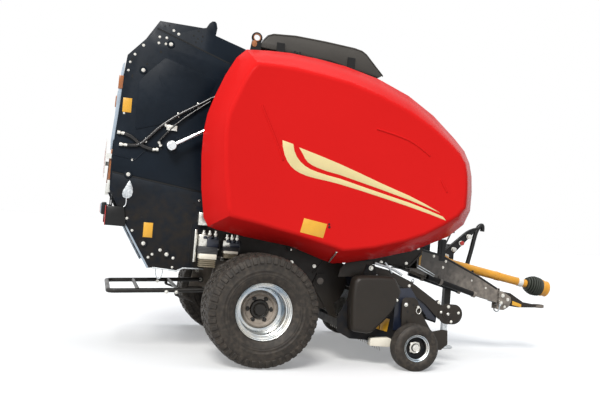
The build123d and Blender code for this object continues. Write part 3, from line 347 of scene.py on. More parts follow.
def paired(piece, bodies, finish, *nodes):
    """Finish a right-hand piece and its left-hand twin, on bodies named right then left."""
    name = piece.name
    twin = piece.copy()
    twin.data = piece.data.copy()
    twin.data.transform(MIRROR)
    twin.data.flip_normals()
    bpy.context.collection.objects.link(twin)
    piece.name = "right_" + name
    twin.name = "left_" + name
    finished(piece, bodies[0], finish, *["right_" + n for n in nodes])
    finished(twin, bodies[1], finish, *["left_" + n for n in nodes])


def bolts(name, rows, direction=RIGHT):
    """Hexagon bolt heads on washers: rows of x, y, z, half width."""
    # rows along and out, in half widths of the head: the washer, and the rim under the head
    washer = [(-4, 0), (-4, 1.5), (0.16, 1.5), (0.2, 1), (0.2, 0)]
    head = turned("head", washer, Vector((0, 0, 0)), (0, 0, 1), steps=14)
    # the head itself: a six-sided bar with a chamfered, slightly domed top
    rest()
    bpy.ops.mesh.primitive_cylinder_add(
        vertices=6, radius=1.0 * MM, depth=0.75 * MM, location=(0, 0, 0.45 * MM),
    )
    hexagon = bpy.context.object
    bpy.ops.object.transform_apply(location=True, rotation=True, scale=True)
    edit(hexagon)
    pick(hexagon, "faces", lambda face: face.normal.z > 0.9)
    bpy.ops.mesh.inset(thickness=0.18 * MM)
    bpy.ops.transform.translate(value=(0, 0, 0.12 * MM))
    rest()
    pattern = joined("bolt_pattern", [head, hexagon])
    moves = [
        facing(direction, place(x, y, z)) @ Matrix.Diagonal((half, half, half, 1)) for x, y, z, half in rows
    ]
    return copied(name, pattern, moves)


def circled(x, y, z, radius, count, half, first=0.0):
    """Rows for bolt heads round a circle seen from the side."""
    turns = [first + 2 * pi * i / count for i in range(count)]
    return [(x + radius * cos(a), y, z + radius * sin(a), half) for a in turns]


def bolted(name, rows, body, direction=RIGHT):
    """Zinc bolt heads and their left-hand twins on one body."""
    finished(both(bolts(name, rows, direction)), body, ZINC)


def whole(name, pieces, body, finish, *nodes):
    """Join pieces and finish them."""
    finished(joined(name, pieces), body, finish, *nodes)


def twinned(name, pieces, body, finish, *nodes):
    """Join right-hand pieces with their left-hand twins and finish them on one body."""
    finished(both(joined(name, pieces)), body, finish, *nodes)


# ---------------------------------------------------------------- finishes
def fed(tree, node, inputs):
    """Set a node's inputs to values or link them to sockets."""
    for key, value in inputs.items():
        if isinstance(value, bpy.types.NodeSocket):
            tree.links.new(value, node.inputs[key])
        else:
            node.inputs[key].default_value = value


def add(tree, kind, inputs=None, **settings):
    """Add a node with its settings, values and links."""
    node = tree.nodes.new(kind)
    for key, value in settings.items():
        setattr(node, key, value)
    fed(tree, node, inputs or {})
    return node


def maths(tree, operation, first, second=0.5):
    return add(tree, "ShaderNodeMath", {0: first, 1: second}, operation=operation).outputs[0]


def times(tree, first, second):
    return maths(tree, "MULTIPLY", first, second)


def ranged(tree, value, low=0.0, high=1.0, to_low=0.0, to_high=1.0, **settings):
    """A value carried from one range to another."""
    ends = {"Value": value, "From Min": low, "From Max": high, "To Min": to_low, "To Max": to_high}
    return add(tree, "ShaderNodeMapRange", ends, **settings).outputs["Result"]


def mixed(tree, share, first, second):
    """A colour between two, each a colour or a socket."""
    return add(tree, "ShaderNodeMix", {0: share, 6: first, 7: second}, data_type="RGBA").outputs[2]


def started(name):
    """A new material's tree, its shader and its object coordinates."""
    material = bpy.data.materials.new(name)
    material.use_nodes = True
    tree = material.node_tree
    shader = tree.nodes["Principled BSDF"]
    spots = add(tree, "ShaderNodeTexCoord").outputs["Object"]
    return tree, shader, spots


def noise(tree, spots, size, detail=3.0, low=0.35, high=0.65):
    """A soft pattern from 0 to 1 whose patches are about size mm across."""
    pattern = add(tree, "ShaderNodeTexNoise", {"Vector": spots, "Scale": 1000 / size, "Detail": detail})
    return ranged(tree, pattern.outputs["Fac"], low, high)


def darker(colour, share):
    return [c * share for c in colour[:3]] + [1.0]


def dust_and_sheen_low(tree, spots, colour, dust_and_sheen, top, depth):
    """Colour mixed with a second tone that thickens from a height down over a depth, both in mm: dirt on most
    finishes, painted sheen and reflection on some.
    """
    height = add(tree, "ShaderNodeSeparateXYZ", {"Vector": spots}).outputs["Z"]
    fade = ranged(tree, height, top * MM, (top - depth) * MM, to_high=0.8, interpolation_type="SMOOTHSTEP")
    return mixed(tree, times(tree, fade, noise(tree, spots, 60, 6, 0.2, 0.7)), colour, dust_and_sheen)


def raised(tree, shader, height, strength, depth):
    """Bump from a height, its depth in mm."""
    bump = add(tree, "ShaderNodeBump", {"Height": height, "Strength": strength, "Distance": depth * MM})
    fed(tree, shader, {"Normal": bump.outputs["Normal"]})


def grained(tree, shader, spots, grain, height, detail=2.0):
    """Bump from a fine grain, in mm."""
    pattern = add(tree, "ShaderNodeTexNoise", {"Vector": spots, "Scale": 1000 / grain, "Detail": detail})
    raised(tree, shader, pattern.outputs["Fac"], 0.35, height)


def painted(
    name, colour, patch, grain, roughness, coat, dust_and_sheen=None, contrast=0.86, top=1500, depth=500, scuffed=0.15,
    gloss=0.5,
):
    """A sprayed coat: soft patches of tone, orange peel as fine as it shows, and a second tone low down: dirt
    on most coats, and painted sheen and reflection on the chassis enamel and the dark powder coat.
    """
    tree, shader, spots = started(name)
    tone = mixed(tree, noise(tree, spots, patch), darker(colour, contrast), colour)
    if scuffed:
        scuffs = noise(tree, spots, 9, 8, 0.62, 0.72)
        tone = mixed(tree, times(tree, scuffs, scuffed), tone, darker(colour, 1.5))
    if dust_and_sheen:
        tone = dust_and_sheen_low(tree, spots, tone, dust_and_sheen, top, depth)
    fed(tree, shader, {"Base Color": tone, "Roughness": roughness, "Specular IOR Level": gloss})
    fed(tree, shader, {"Coat Weight": coat, "Coat Roughness": 0.06})
    if scuffed:
        worn = ranged(tree, noise(tree, spots, 45, 6), to_low=roughness * 0.85, to_high=roughness * 1.2)
        fed(tree, shader, {"Roughness": worn})
    if grain:
        grained(tree, shader, spots, grain, 0.25)


def metal(name, colour, second, patch, roughness, grain, height):
    """Bare or plated metal: a metallic shader whose tone and roughness drift a little."""
    tree, shader, spots = started(name)
    tone = mixed(tree, noise(tree, spots, patch), colour, second)
    drift = noise(tree, spots, patch / 3, 5)
    worn = ranged(tree, drift, to_low=roughness * 0.8, to_high=roughness * 1.25)
    fed(tree, shader, {"Base Color": tone, "Metallic": 1.0, "Roughness": worn})
    grained(tree, shader, spots, grain, height)
    return tree


def make_finishes(colours):
    """Every finish on the machine; most are named for what they are made of, two for the shade and highlight
    painted into them.
    """
    chaff_and_ground_reflection = linear("#2b2620")
    pale_dust = linear("#85796b")
    # moulded glass-fibre cover with a gel coat: one even deep red, hardly mottled, with faint reflections
    painted("gel_coat_red", list(colours.cover), 1200, 0, 0.22, 0, contrast=0.96, scuffed=0, gloss=0.015)
    # powder coat on pressed sheet: blue-black, semi-gloss, its blue partly a painted sky reflection; brown
    # towards the ground, partly chaff, partly a painted reflection of the ground
    painted("powder_coat_dark", list(colours.dark), 260, 5, 0.36, 0, chaff_and_ground_reflection, 0.75, 1560, 420, 0.06, 0.12)
    # chassis enamel: warm grey brown, dull, paler towards the ground: partly dust, partly a painted sheen for
    # the bright light on the drawbar's low front
    painted("chassis_enamel", list(colours.grey), 180, 5, 0.38, 0.15, linear("#9c9287"), 0.85, 1080, 430, 0.1)
    # wall enamel under the covers: dark, brownish, rather matt
    painted("wall_enamel", linear("#2a2622"), 240, 5, 0.42, 0, chaff_and_ground_reflection, 0.8, 1000, 600, 0.06, 0.25)
    # black stoving enamel on tubes and small frames: low gloss with a hint of brown dust
    painted("stoving_black", linear("#121212"), 150, 4, 0.34, 0, chaff_and_ground_reflection, 0.8, 1100, 900, 0.1, 0.3)
    # aluminium-flake wheel paint: cream-silver, metallic, so that it takes up sky and ground; the blue-grey
    # patches mixed into it are a painted sky reflection
    metal("wheel_enamel", linear("#9aa8b4"), list(colours.rim), 170, 0.3, 30, 0.04)
    # the wheel's disc: the same paint in a darker taupe, a painted shade for the recessed disc
    painted("disc_enamel", linear("#94897d"), 50, 6, 0.42, 0.1, None, 0.8, scuffed=0)
    # vinyl stripe: cream, even, satin
    painted("cream_vinyl", list(colours.stripe), 300, 6, 0.35, 0.3, None, 0.94)
    # blank yellow label: printed film, a little glossy
    painted("yellow_film", list(colours.label), 90, 6, 0.35, 0.3, None, 0.92)
    # fairing sheet: warm dark grey paint, satin
    painted("fairing_grey", linear("#4b4844"), 320, 6, 0.45, 0, None, 0.84, gloss=0.2)
    # reflecting film: orange-brown, glossy, with small cells as the eye sees them from near
    painted("amber_film", linear("#a8622a"), 8, 5, 0.25, 0.6, None, 0.7)
    # moulded polyethylene guard: waxy yellow, soft sheen, scuffed
    painted("guard_plastic", list(colours.guard), 110, 7, 0.42, 0.1, None, 0.84)
    # ribbed rubber bellows: black with a green cast, matt
    painted("bellows_rubber", linear("#23281f"), 40, 3, 0.6, 0.0, None, 0.8)
    # lamp lens: deep red clear plastic over a reflector, glossy
    painted("lamp_lens", linear("#b01812"), 25, 6, 0.12, 0.9, None, 0.75)
    # pale lens: blue-grey clear plastic
    painted("pale_lens", linear("#8c9aa6"), 20, 6, 0.12, 0.9, None, 0.8)
    # marker board: white film on sheet
    painted("board_film", linear("#dfe0db"), 90, 8, 0.35, 0.25, None, 0.93)
    # pale blue-grey edge sheet, satin: its pale tone is a painted highlight for the brightly lit rear edge of
    # the tailgate
    painted("pale_sheet", linear("#a9b8c6"), 120, 6, 0.35, 0.2, None, 0.8)
    # warning stripes of the marker board: red film
    painted("red_film", linear("#b3261c"), 60, 8, 0.35, 0.25, None, 0.85)
    # navy plastic: deep blue, satin
    painted("navy_plastic", linear("#121a2c"), 60, 5, 0.38, 0.2, None, 0.8)
    # cream nylon skid: pale, waxy
    painted("cream_nylon", linear("#ece6d6"), 60, 5, 0.4, 0.1, None, 0.9, scuffed=0)
    # beige nylon: pale brown, dull
    painted("beige_nylon", linear("#7d735f"), 40, 4, 0.5, 0.0, None, 0.8)
    # cast iron under thin grey paint: coarse sand-cast grain
    painted("cast_iron_grey", linear("#45474a"), 70, 9, 0.55, 0.0, pale_dust, 0.75, 1000, 500)
    # hot-dip zinc: pale grey, dull, with spangles some 12 mm wide
    tree = metal("galvanised_zinc", linear("#a9adb0"), linear("#cdd0d2"), 30, 0.42, 4, 0.1)
    spots = tree.nodes["Texture Coordinate"].outputs["Object"]
    spangle = add(tree, "ShaderNodeTexVoronoi", {"Vector": spots, "Scale": 1000 / 12})
    grey = add(tree, "ShaderNodeRGBToBW", {"Color": spangle.outputs["Color"]}).outputs["Val"]
    tone = mixed(tree, grey, linear("#9fa4a8"), linear("#d6d9da"))
    fed(tree, tree.nodes["Principled BSDF"], {"Base Color": tone})
    # bright zinc on bolts and fittings: pale, with a hint of yellow
    metal("bright_zinc", linear("#c9c6bd"), linear("#e3e1da"), 15, 0.28, 3, 0.05)
    # ground hard chrome on piston rods: nearly white, mirror-like along fine grinding marks
    metal("hard_chrome", linear("#e6e8ea"), linear("#f4f5f6"), 60, 0.12, 3, 0.02)
    # rolled steel polished by straw: grey, streaked
    metal("worked_steel", linear("#7f7c78"), linear("#a5a29c"), 40, 0.36, 3, 0.06)
    make_rubbers(pale_dust)


def make_rubbers(pale_dust):
    # vulcanised tyre rubber: brown-black, matt, dust on the sides and in the tread
    # hose rubber: black, smooth, with little dust
    for name, code, patch, share, gloss, roughness in (
        ("worn_tyre_rubber", "#2a2622", 150, 0.16, 0.3, 0.6), ("hose_rubber", "#121213", 40, 0.06, 0.5, 0.2),
    ):
        tree, shader, spots = started(name)
        tone = mixed(tree, noise(tree, spots, patch, 5), darker(linear(code), 0.75), linear(code))
        dust_and_sheen = times(tree, noise(tree, spots, 34, 8, 0.42, 0.72), share)
        tone = mixed(tree, dust_and_sheen, tone, darker(pale_dust, 0.9))
        fed(tree, shader, {"Base Color": tone, "Specular IOR Level": gloss, "Roughness": roughness})
        grained(tree, shader, spots, 3.5, 0.4, 5)
    # woven belt under rubber: black-brown with a diamond grip drawn at its real 14 mm pitch
    tree, shader, spots = started("woven_belt_rubber")
    axes = add(tree, "ShaderNodeSeparateXYZ", {"Vector": spots}).outputs
    along = maths(tree, "ADD", axes["X"], axes["Z"])
    waves = []
    for kind in ("ADD", "SUBTRACT"):
        slant = maths(tree, kind, along, axes["Y"])
        waves.append(maths(tree, "SINE", times(tree, slant, 2 * pi / 0.014)))
    tone = mixed(tree, noise(tree, spots, 90, 6), linear("#1c1a18"), linear("#39342e"))
    fed(tree, shader, {"Base Color": tone, "Roughness": 0.62})
    raised(tree, shader, maths(tree, "MAXIMUM", *waves), 0.6, 1.2)


class BALER_OT_finishes(bpy.types.Operator):
    """Make the finishes and give each shown node of the frame its own"""

    bl_idname = "baler.finishes"
    bl_label = "Finishes"

    def execute(self, context):
        make_finishes(context.scene.baler_colours)
        slots = {
            "cover_red": "gel_coat_red", "dark_paint": "powder_coat_dark", "grey_paint": "chassis_enamel",
            "black_paint": "stoving_black", "galvanised": "galvanised_zinc", "chrome_rod": "hard_chrome",
            "silver_rim": "wheel_enamel", "tyre_rubber": "worn_tyre_rubber", "belt_rubber": "woven_belt_rubber",
            "guard_yellow": "guard_plastic", "cast_grey": "cast_iron_grey", "lamp_red": "lamp_lens",
            "board_white": "board_film", "zinc_hub": "bright_zinc", "roller_steel": "worked_steel"
        }
        dull = (
            "right_chamber_wall", "left_chamber_wall", "wind_guard", "gauge_arms", "pickup_frame",
            "hitch_tongue",
        )
        own = dict.fromkeys(dull, "wall_enamel")
        for row in frame["record"]["subparts"]:
            name = row["node"]
            material = bpy.data.materials[own.get(name, slots[row["material_slot"]])]
            faces = frame["nodes"][name].data
            faces.materials.clear()
            faces.materials.append(material)
        return {"FINISHED"}


# ---------------------------------------------------------------- road wheels
WHEEL_OUT = -1032  # station of the wheel's middle plane
WHEEL_UP = (low_corner.z + high_corner.z) / 2 / MM
WHEEL_RADIUS = WHEEL_UP
NUT_CIRCLE = 102.5


def tyre_section(outer, inner):
    """A tyre's closed section from half of its outer and inner lines, the outer from its middle."""
    mirrored = [(-u, r) for u, r in reversed(outer[1:] + inner)]
    return outer + inner + mirrored


class BALER_OT_road_wheels(bpy.types.Operator):
    """Road wheels: blocky tyres, stepped silver rims, black hubs with studs"""

    bl_idname = "baler.road_wheels"
    bl_label = "Road wheels"

    def execute(self, context):
        sizes = context.scene.baler_sizes
        middle = place(0, WHEEL_OUT, WHEEL_UP)
        floor = WHEEL_RADIUS - sizes.tread / MM
        half_section = [
            (0, floor + 1), (130, floor + 1), (196, floor + 4), (230, floor - 9), (243, floor - 44),
            (249, floor - 88), (248, 345), (250, 341), (250, 333), (247, 329), (245, 316), (247, 312),
            (246, 306), (243, 300), (244, 296), (241, 288), (232, 268), (221, 246), (213, 238), (199, 236),
            (196, 218),
        ]
        inner = [(168, 222), (205, 300), (205, 400), (150, 425)]
        carcass = turned("tyre_carcass", tyre_section(half_section, inner), middle, RIGHT, steps=72, angle=40)
        rows = (
            # along, half width along, half length round, twist in degrees, lean in degrees, phase
            (190, 42, 23, 0, 9, 0.0), (240, 31, 20, 0, 74, 0.0), (108, 34, 19, 24, 0, 0.25),
            (36, 34, 18, -28, 0, 0.5),
        )
        # the other half of the tread is the mirror, half a pitch further round
        rows = [
            row
            for along, half_u, half_t, twist, lean, phase in rows
            for row in (
                (along, half_u, half_t, twist, lean, phase),
                (-along, half_u, half_t, -twist, -lean, (phase + 0.5) % 1),
            )
        ]
        pieces = [carcass]
        for along, half_u, half_t, twist, lean, phase in rows:
            rest()
            depth = sizes.tread / MM + 6
            bpy.ops.mesh.primitive_cube_add(size=1, scale=(2 * half_t * MM, 2 * half_u * MM, depth * MM))
            lug = context.object
            bpy.ops.object.transform_apply(location=True, rotation=True, scale=True)
            edit(lug)
            pick(lug, "faces", lambda face: face.normal.z > 0.9)
            bpy.ops.transform.resize(value=(0.8, 0.9, 1))
            rest()
            softened(lug, 2.2, 1)
            low = -36 if abs(along) > 220 else (-6 if abs(along) > 150 else -2)
            reach = WHEEL_RADIUS - depth / 2 + low
            turn = Matrix.Rotation(radians(twist), 4, "Z")
            tilt = Matrix.Rotation(radians(lean), 4, "X")
            lug.data.transform(Matrix.Translation((0, -along * MM, reach * MM)) @ tilt @ turn)
            count = sizes.tread_blocks
            moves = [
                Matrix.Translation(middle) @ Matrix.Rotation(2 * pi * (i + phase) / count, 4, "Y")
                for i in range(count)
            ]
            pieces.append(copied("lugs", lug, moves))
        tyre = joined("tyre_tread", pieces)
        paired(tyre, ("wheel_right", "wheel_left"), TYRE, "tyre")
        self.rim(middle)
        return {"FINISHED"}

    def rim(self, middle):
        face = [
            (213, 228), (217, 234), (211, 237), (206, 233), (205, 221), (200, 215), (188, 212), (186, 207),
            (160, 204), (156, 196), (120, 193), (60, 190), (34, 186), (27, 178), (24, 160), (12, 156),
            (12, 150), (28, 146), (33, 137), (33, 128), (27, 120), (17, 114), (15, 108), (15, 82),
        ]
        back = [
            (5, 82), (5, 112), (20, 130), (6, 158), (16, 184), (-60, 184), (-92, 205), (-203, 214), (-213, 234),
            (-221, 234), (-211, 205), (-95, 197), (-62, 192), (20, 196), (60, 198), (110, 200), (150, 203),
            (180, 216), (203, 222),
        ]
        rim = turned("rim_barrel", face[:16] + back[3:], middle, RIGHT, steps=72, angle=28)
        dish = turned("rim_disc", face[15:] + back[:4], middle, RIGHT, steps=72, angle=28)
        valve = tube("valve", [(60, WHEEL_OUT - 120, WHEEL_UP - 186), (62, WHEEL_OUT - 150, WHEEL_UP - 176)], 5)
        cap = turned(
            "rim_disc_hub", [(14, 0), (14, 78), (30, 78), (36, 74), (40, 58), (58, 50), (63, 44), (63, 0)],
            middle, RIGHT, steps=40,
        )
        nuts = bolts("wheel_nuts", circled(0, WHEEL_OUT - 13, WHEEL_UP, NUT_CIRCLE, 6, 14))
        barrel = [(-95, 36), (-95, 62), (-12, 62), (-12, 120), (4, 120), (4, 36)]
        hub = turned("hub_barrel", barrel, middle, RIGHT, steps=40)
        bodies = ("wheel_right", "wheel_left")
        paired(rim, bodies, SILVER, "rim")
        # the disc takes the darker taupe paint: painted shade of its recess
        paired(dish, bodies, ("silver_rim", "disc_enamel"))
        paired(joined("hub_cap", [cap, nuts, hub, valve]), bodies, BLACK, "hub")


GAUGE_AT = (1390, 203)  # the gauge wheels' middle: forwards of the axle and up


class BALER_OT_gauge_wheels(bpy.types.Operator):
    """Pickup gauge wheels: ribbed small tyres on silver rims with a bright cap"""

    bl_idname = "baler.gauge_wheels"
    bl_label = "Gauge wheels"

    def execute(self, context):
        low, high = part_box("right_gauge_tyre")
        middle = (low + high) / 2
        radius = (high.z - low.z) / 2 / MM
        half = [(0, radius - 6)]
        for u in (12, 34, 56):
            half += [(u - 8, radius - 6), (u - 6, radius), (u + 6, radius), (u + 8, radius - 6)]
        half += [
            (70, radius - 10), (79, radius - 24), (82, radius - 48), (78, radius - 70), (68, 118), (60, 114),
            (59, 104),
        ]
        inner = [(48, 107), (66, 150), (40, 180)]
        tyre = turned("gauge_tyre_ribs", tyre_section(half, inner), middle, RIGHT, steps=56, angle=40)
        bodies = ("gauge_wheel_right", "gauge_wheel_left")
        paired(tyre, bodies, TYRE, "gauge_tyre")
        flange = [
            (62, 113), (66, 117), (63, 119), (60, 115), (56, 104), (50, 101), (36, 99), (36, 94), (52, 96),
        ]
        rim = turned("gauge_rim_flange", flange, middle, RIGHT, steps=48, angle=28)
        dish = [
            (36, 94), (36, 99), (20, 97), (6, 88), (6, 62), (10, 56), (5, 50), (5, 24), (0, 24), (0, 52),
            (1, 88), (-5, 94), (-52, 98), (-62, 116), (-66, 112), (-56, 95), (-8, 90), (15, 92),
        ]
        dish = turned("gauge_rim_dish", dish, middle, RIGHT, steps=48, angle=28)
        cap = turned(
            "gauge_cap",
            [
                (-45, 12), (-45, 27), (8, 27), (9, 50), (20, 50), (24, 38), (36, 36), (44, 31), (46, 0),
                (40, 0), (40, 12),
            ],
            middle, RIGHT, steps=32,
        )
        rows = circled(GAUGE_AT[0], middle.y / MM - 9, GAUGE_AT[1], 45, 4, 8, pi / 4)
        nuts = bolts("gauge_nuts", rows)
        paired(rim, bodies, SILVER, "gauge_rim")
        # the dish takes the dark powder coat: painted shade inside the small rim
        paired(dish, bodies, ("silver_rim", "powder_coat_dark"))
        paired(joined("gauge_caps", [cap, nuts]), bodies, ZINC)
        return {"FINISHED"}


# ---------------------------------------------------------------- side covers
# stations across the machine: the covers' hem, their panel, and the upper hinges' rods
HEM = -930
PANEL = -1200
HINGE_OUT = -800
cover_rows = [
    # hem x, hem z, panel x, panel z
    (-266, 2629, -207, 2475), (-80, 2646, -60, 2479), (111, 2653, 98, 2477), (360, 2637, 350, 2452),
    (613, 2607, 601, 2417), (930, 2535, 880, 2342), (1224, 2423, 1150, 2240), (1479, 2273, 1360, 2130),
    (1704, 2089, 1530, 2015), (1812, 1985, 1640, 1925), (1872, 1880, 1704, 1837), (1904, 1760, 1730, 1730),
    (1918, 1620, 1739, 1600), (1916, 1444, 1737, 1462), (1860, 1312, 1670, 1378), (1714, 1191, 1540, 1290),
    (1540, 1112, 1370, 1194), (1364, 1035, 1200, 1128), (1019, 944, 922, 1048), (765, 893, 760, 1020),
    (631, 878, 643, 1005), (540, 905, 555, 1030), (245, 1002, 240, 1105), (-149, 1055, -120, 1178),
    (-400, 1098, -290, 1207), (-467, 1117, -328, 1224), (-509, 1188, -348, 1290), (-548, 1436, -385, 1500),
    (-569, 1700, -412, 1720), (-568, 1900, -423, 1900), (-548, 2050, -410, 2040), (-503, 2196, -370, 2150),
    (-429, 2387, -318, 2290), (-345, 2550, -262, 2410),
]
ridge_rows = (
    [(-149, 2139), (-89, 2023), (1, 1845), (62, 1711)], [(854, 2057), (1067, 2021), (1239, 1962), (1359, 1878)],
    [(1480, 1681), (1546, 1581)],
)
stripe_low = [
    (46, 1872), (52, 1820), (74, 1753), (100, 1706), (132, 1668), (168, 1640), (213, 1619), (270, 1601),
    (344, 1588), (450, 1575), (564, 1558), (740, 1523), (928, 1483), (1208, 1421), (1400, 1374), (1560, 1330),
    (1524, 1363), (1380, 1408), (1206, 1456), (925, 1519), (740, 1562), (561, 1604), (450, 1622), (366, 1640),
    (300, 1658), (251, 1682), (210, 1712), (177, 1748), (152, 1795), (138, 1850),
]
stripe_high = [
    (190, 1828), (371, 1779), (550, 1727), (740, 1665), (918, 1604), (1060, 1559), (1200, 1515), (1350, 1458),
    (1500, 1392), (1350, 1437), (1203, 1479), (1060, 1515), (922, 1550), (740, 1593), (558, 1636), (440, 1656),
    (354, 1678), (310, 1694), (274, 1714), (247, 1742), (229, 1772),
]


def slope_height(y):
    """Height of a cover's lower slope at a station across the machine, near the latch."""
    return 884 + (HEM - y) * 125 / (HEM - PANEL)


class BALER_OT_covers(bpy.types.Operator):
    """Moulded side covers with sloping borders, pressed ridges, stripes and a blank label"""

    bl_idname = "baler.covers"
    bl_label = "Side covers"

    def execute(self, context):
        sizes = context.scene.baler_sizes
        hem = [(x, z) for x, z, _, _ in cover_rows]
        panel = [(x, z) for _, _, x, z in cover_rows]
        shell = lofted("cover_shell", [(HEM, hem), (PANEL, panel)])
        edit(shell)
        outer = PANEL * MM
        pick(shell, "edges", lambda edge: all(abs(v.co.y - outer) < 1e-5 for v in edge.verts))
        bpy.ops.mesh.bevel(offset=sizes.cover_edge, segments=5, affect="EDGES")
        pick(shell, "faces", lambda face: face.normal.y < -0.9999 and len(face.verts) > 20)
        bpy.ops.mesh.inset(thickness=8 * MM)
        pick(shell, "faces", lambda face: face.normal.y > 0.99)
        bpy.ops.mesh.inset(thickness=26 * MM)
        bpy.ops.mesh.delete(type="FACE")
        rest()
        shaped(shell, "SOLIDIFY", thickness=sizes.cover_sheet, offset=-1)
        softened(shell, 1.5, 2, 50)
        smooth(shell, 38)
        ridges = [tube("ridge", [(x, PANEL + 1, z) for x, z in row], 9) for row in ridge_rows]
        shell = joined("cover_shell", [shell] + ridges)
        bodies = ("cover_right", "cover_left")
        paired(shell, bodies, ("cover_red", "gel_coat_red"), "cover")

        stand = -sizes.decal / MM
        stripes = joined(
            "cover_stripes",
            [plate("stripe", row, PANEL + 1, PANEL + stand, 0.4) for row in (stripe_low, stripe_high)],
        )
        paired(stripes, bodies, ("board_white", "cream_vinyl"))
        label = [(281, 1250), (482, 1216), (457, 1097), (256, 1132)]
        paired(plate("cover_label", label, PANEL + 1, PANEL + stand, 0.4), bodies, LABEL)
        rivets = bolts("cover_rivets", [(503, PANEL - 1, 1192, 7), (500, PANEL - 1, 1216, 6)])
        paired(rivets, bodies, BLACK)

        # latch strip across the lower slope, and the straps of the upper hinges
        strip = [(590, 0), (604, 0), (604, 5), (590, 5)]
        latch = lofted(
            "cover_latch",
            [(y, [(x, slope_height(y) + z - 7) for x, z in strip]) for y in (HEM - 20, PANEL + 40)],
        )
        paired(latch, bodies, ZINC)
        straps = []
        for x in (35, 485):
            arm = block("strap", (x - 15, HEM, 2570), (x + 15, HINGE_OUT - 5, 2612), 4)
            barrel = turned(
                "barrel", [(-15, 12.4), (-15, 23), (15, 23), (15, 12.4)], place(x, HINGE_OUT, 2590), (1, 0, 0),
                steps=28,
            )
            straps += [arm, barrel]
        paired(joined("cover_straps", straps), bodies, BLACK)
        return {"FINISHED"}


# ---------------------------------------------------------------- tailgate
# stations across the machine: the side sheet's two faces, the raised fold, the edge strips
SHEET_IN = -631
SHEET_OUT = -639
FOLD_OUT = -645
EDGE_OUT = -634
ON_TAILGATE = ("tailgate", "tailgate")
tailgate_outline = [
    (-975, 2829), (-1078, 2660), (-1217, 2503), (-1236, 2330), (-1240, 2142), (-1262, 1860), (-1276, 1641),
    (-1275, 1500), (-1270, 1360), (-1116, 1081), (-900, 731), (-790, 716), (-681, 712), (-600, 742),
    (-433, 746), (-440, 1620), (-215, 2300), (-75, 2500), (-85, 2600), (-228, 2691), (-496, 2772), (-487, 2837),
    (-497, 2880), (-511, 2894), (-535, 2892), (-559, 2870), (-582, 2828), (-608, 2822),
]
side_panel = [
    (-990, 2752), (-1088, 2640), (-1203, 2492), (-1224, 2330), (-1228, 2142), (-1250, 1860), (-1263, 1650),
    (-1262, 1520), (-508, 1411), (-446, 1420), (-446, 1620), (-232, 2290), (-180, 2440), (-351, 2536),
]
inner_panel = [
    (-886, 2521), (-454, 2380), (-470, 2340), (-540, 2170), (-640, 2030), (-1095, 1884), (-1106, 1900),
    (-1113, 2260), (-1096, 2300), (-1024, 2392), (-910, 2512),
]
low_panel = [
    (-1260, 1500), (-1258, 1362), (-1108, 1092), (-898, 748), (-789, 728), (-683, 724), (-602, 756),
    (-444, 758), (-444, 1396), (-508, 1396),
]
LOW_OUT = SHEET_OUT - 3  # the lower panel's outer face
# the panels' bolts by station: x, z, half width
panel_bolts = {
    FOLD_OUT: [
        (-968, 2690, 10), (-909, 2690, 10), (-971, 2638, 10), (-912, 2638, 10), (-1095, 2600, 11),
        (-1158, 2515, 10), (-1192, 2445, 9), (-1200, 2374, 9), (-1206, 2010, 8), (-1108, 1626, 9),
    ],
    SHEET_OUT: [(-855, 2762, 10), (-812, 2738, 11)],
    LOW_OUT: [
        (-1110, 1131, 10), (-1060, 1032, 10), (-910, 815, 10), (-879, 842, 10), (-816, 883, 12),
        (-702, 822, 11), (-703, 742, 9), (-520, 1330, 9), (-520, 900, 9),
    ],
}
# the panels' holes by station: x, z, half width, half height
panel_holes = {
    FOLD_OUT: [(-948, 2564, 12, 12), (-1055, 2447, 9, 9), (-1179, 2470, 7, 18), (-1165, 2330, 7, 18)],
    FOLD_OUT - 1: [(-879, 1743, 10, 10)], FOLD_OUT - 3: [(-790, 2458, 8, 5), (-765, 2440, 8, 5)],
    SHEET_OUT: [
        (-684, 2745, 8, 8), (-648, 2722, 8, 8), (-607, 2748, 8, 8), (-662, 2690, 8, 8), (-646, 2790, 7, 7),
        (-612, 2705, 7, 7), (-930, 2790, 6, 6), (-895, 2800, 6, 6),
    ],
    LOW_OUT: [(-560, 1300, 9, 9), (-990, 1150, 8, 8)]
}


def rounded(x, z, half_x, half_z, count=12):
    """An outline as an ellipse."""
    return [(x + half_x * cos(2 * pi * i / count), z + half_z * sin(2 * pi * i / count)) for i in range(count)]


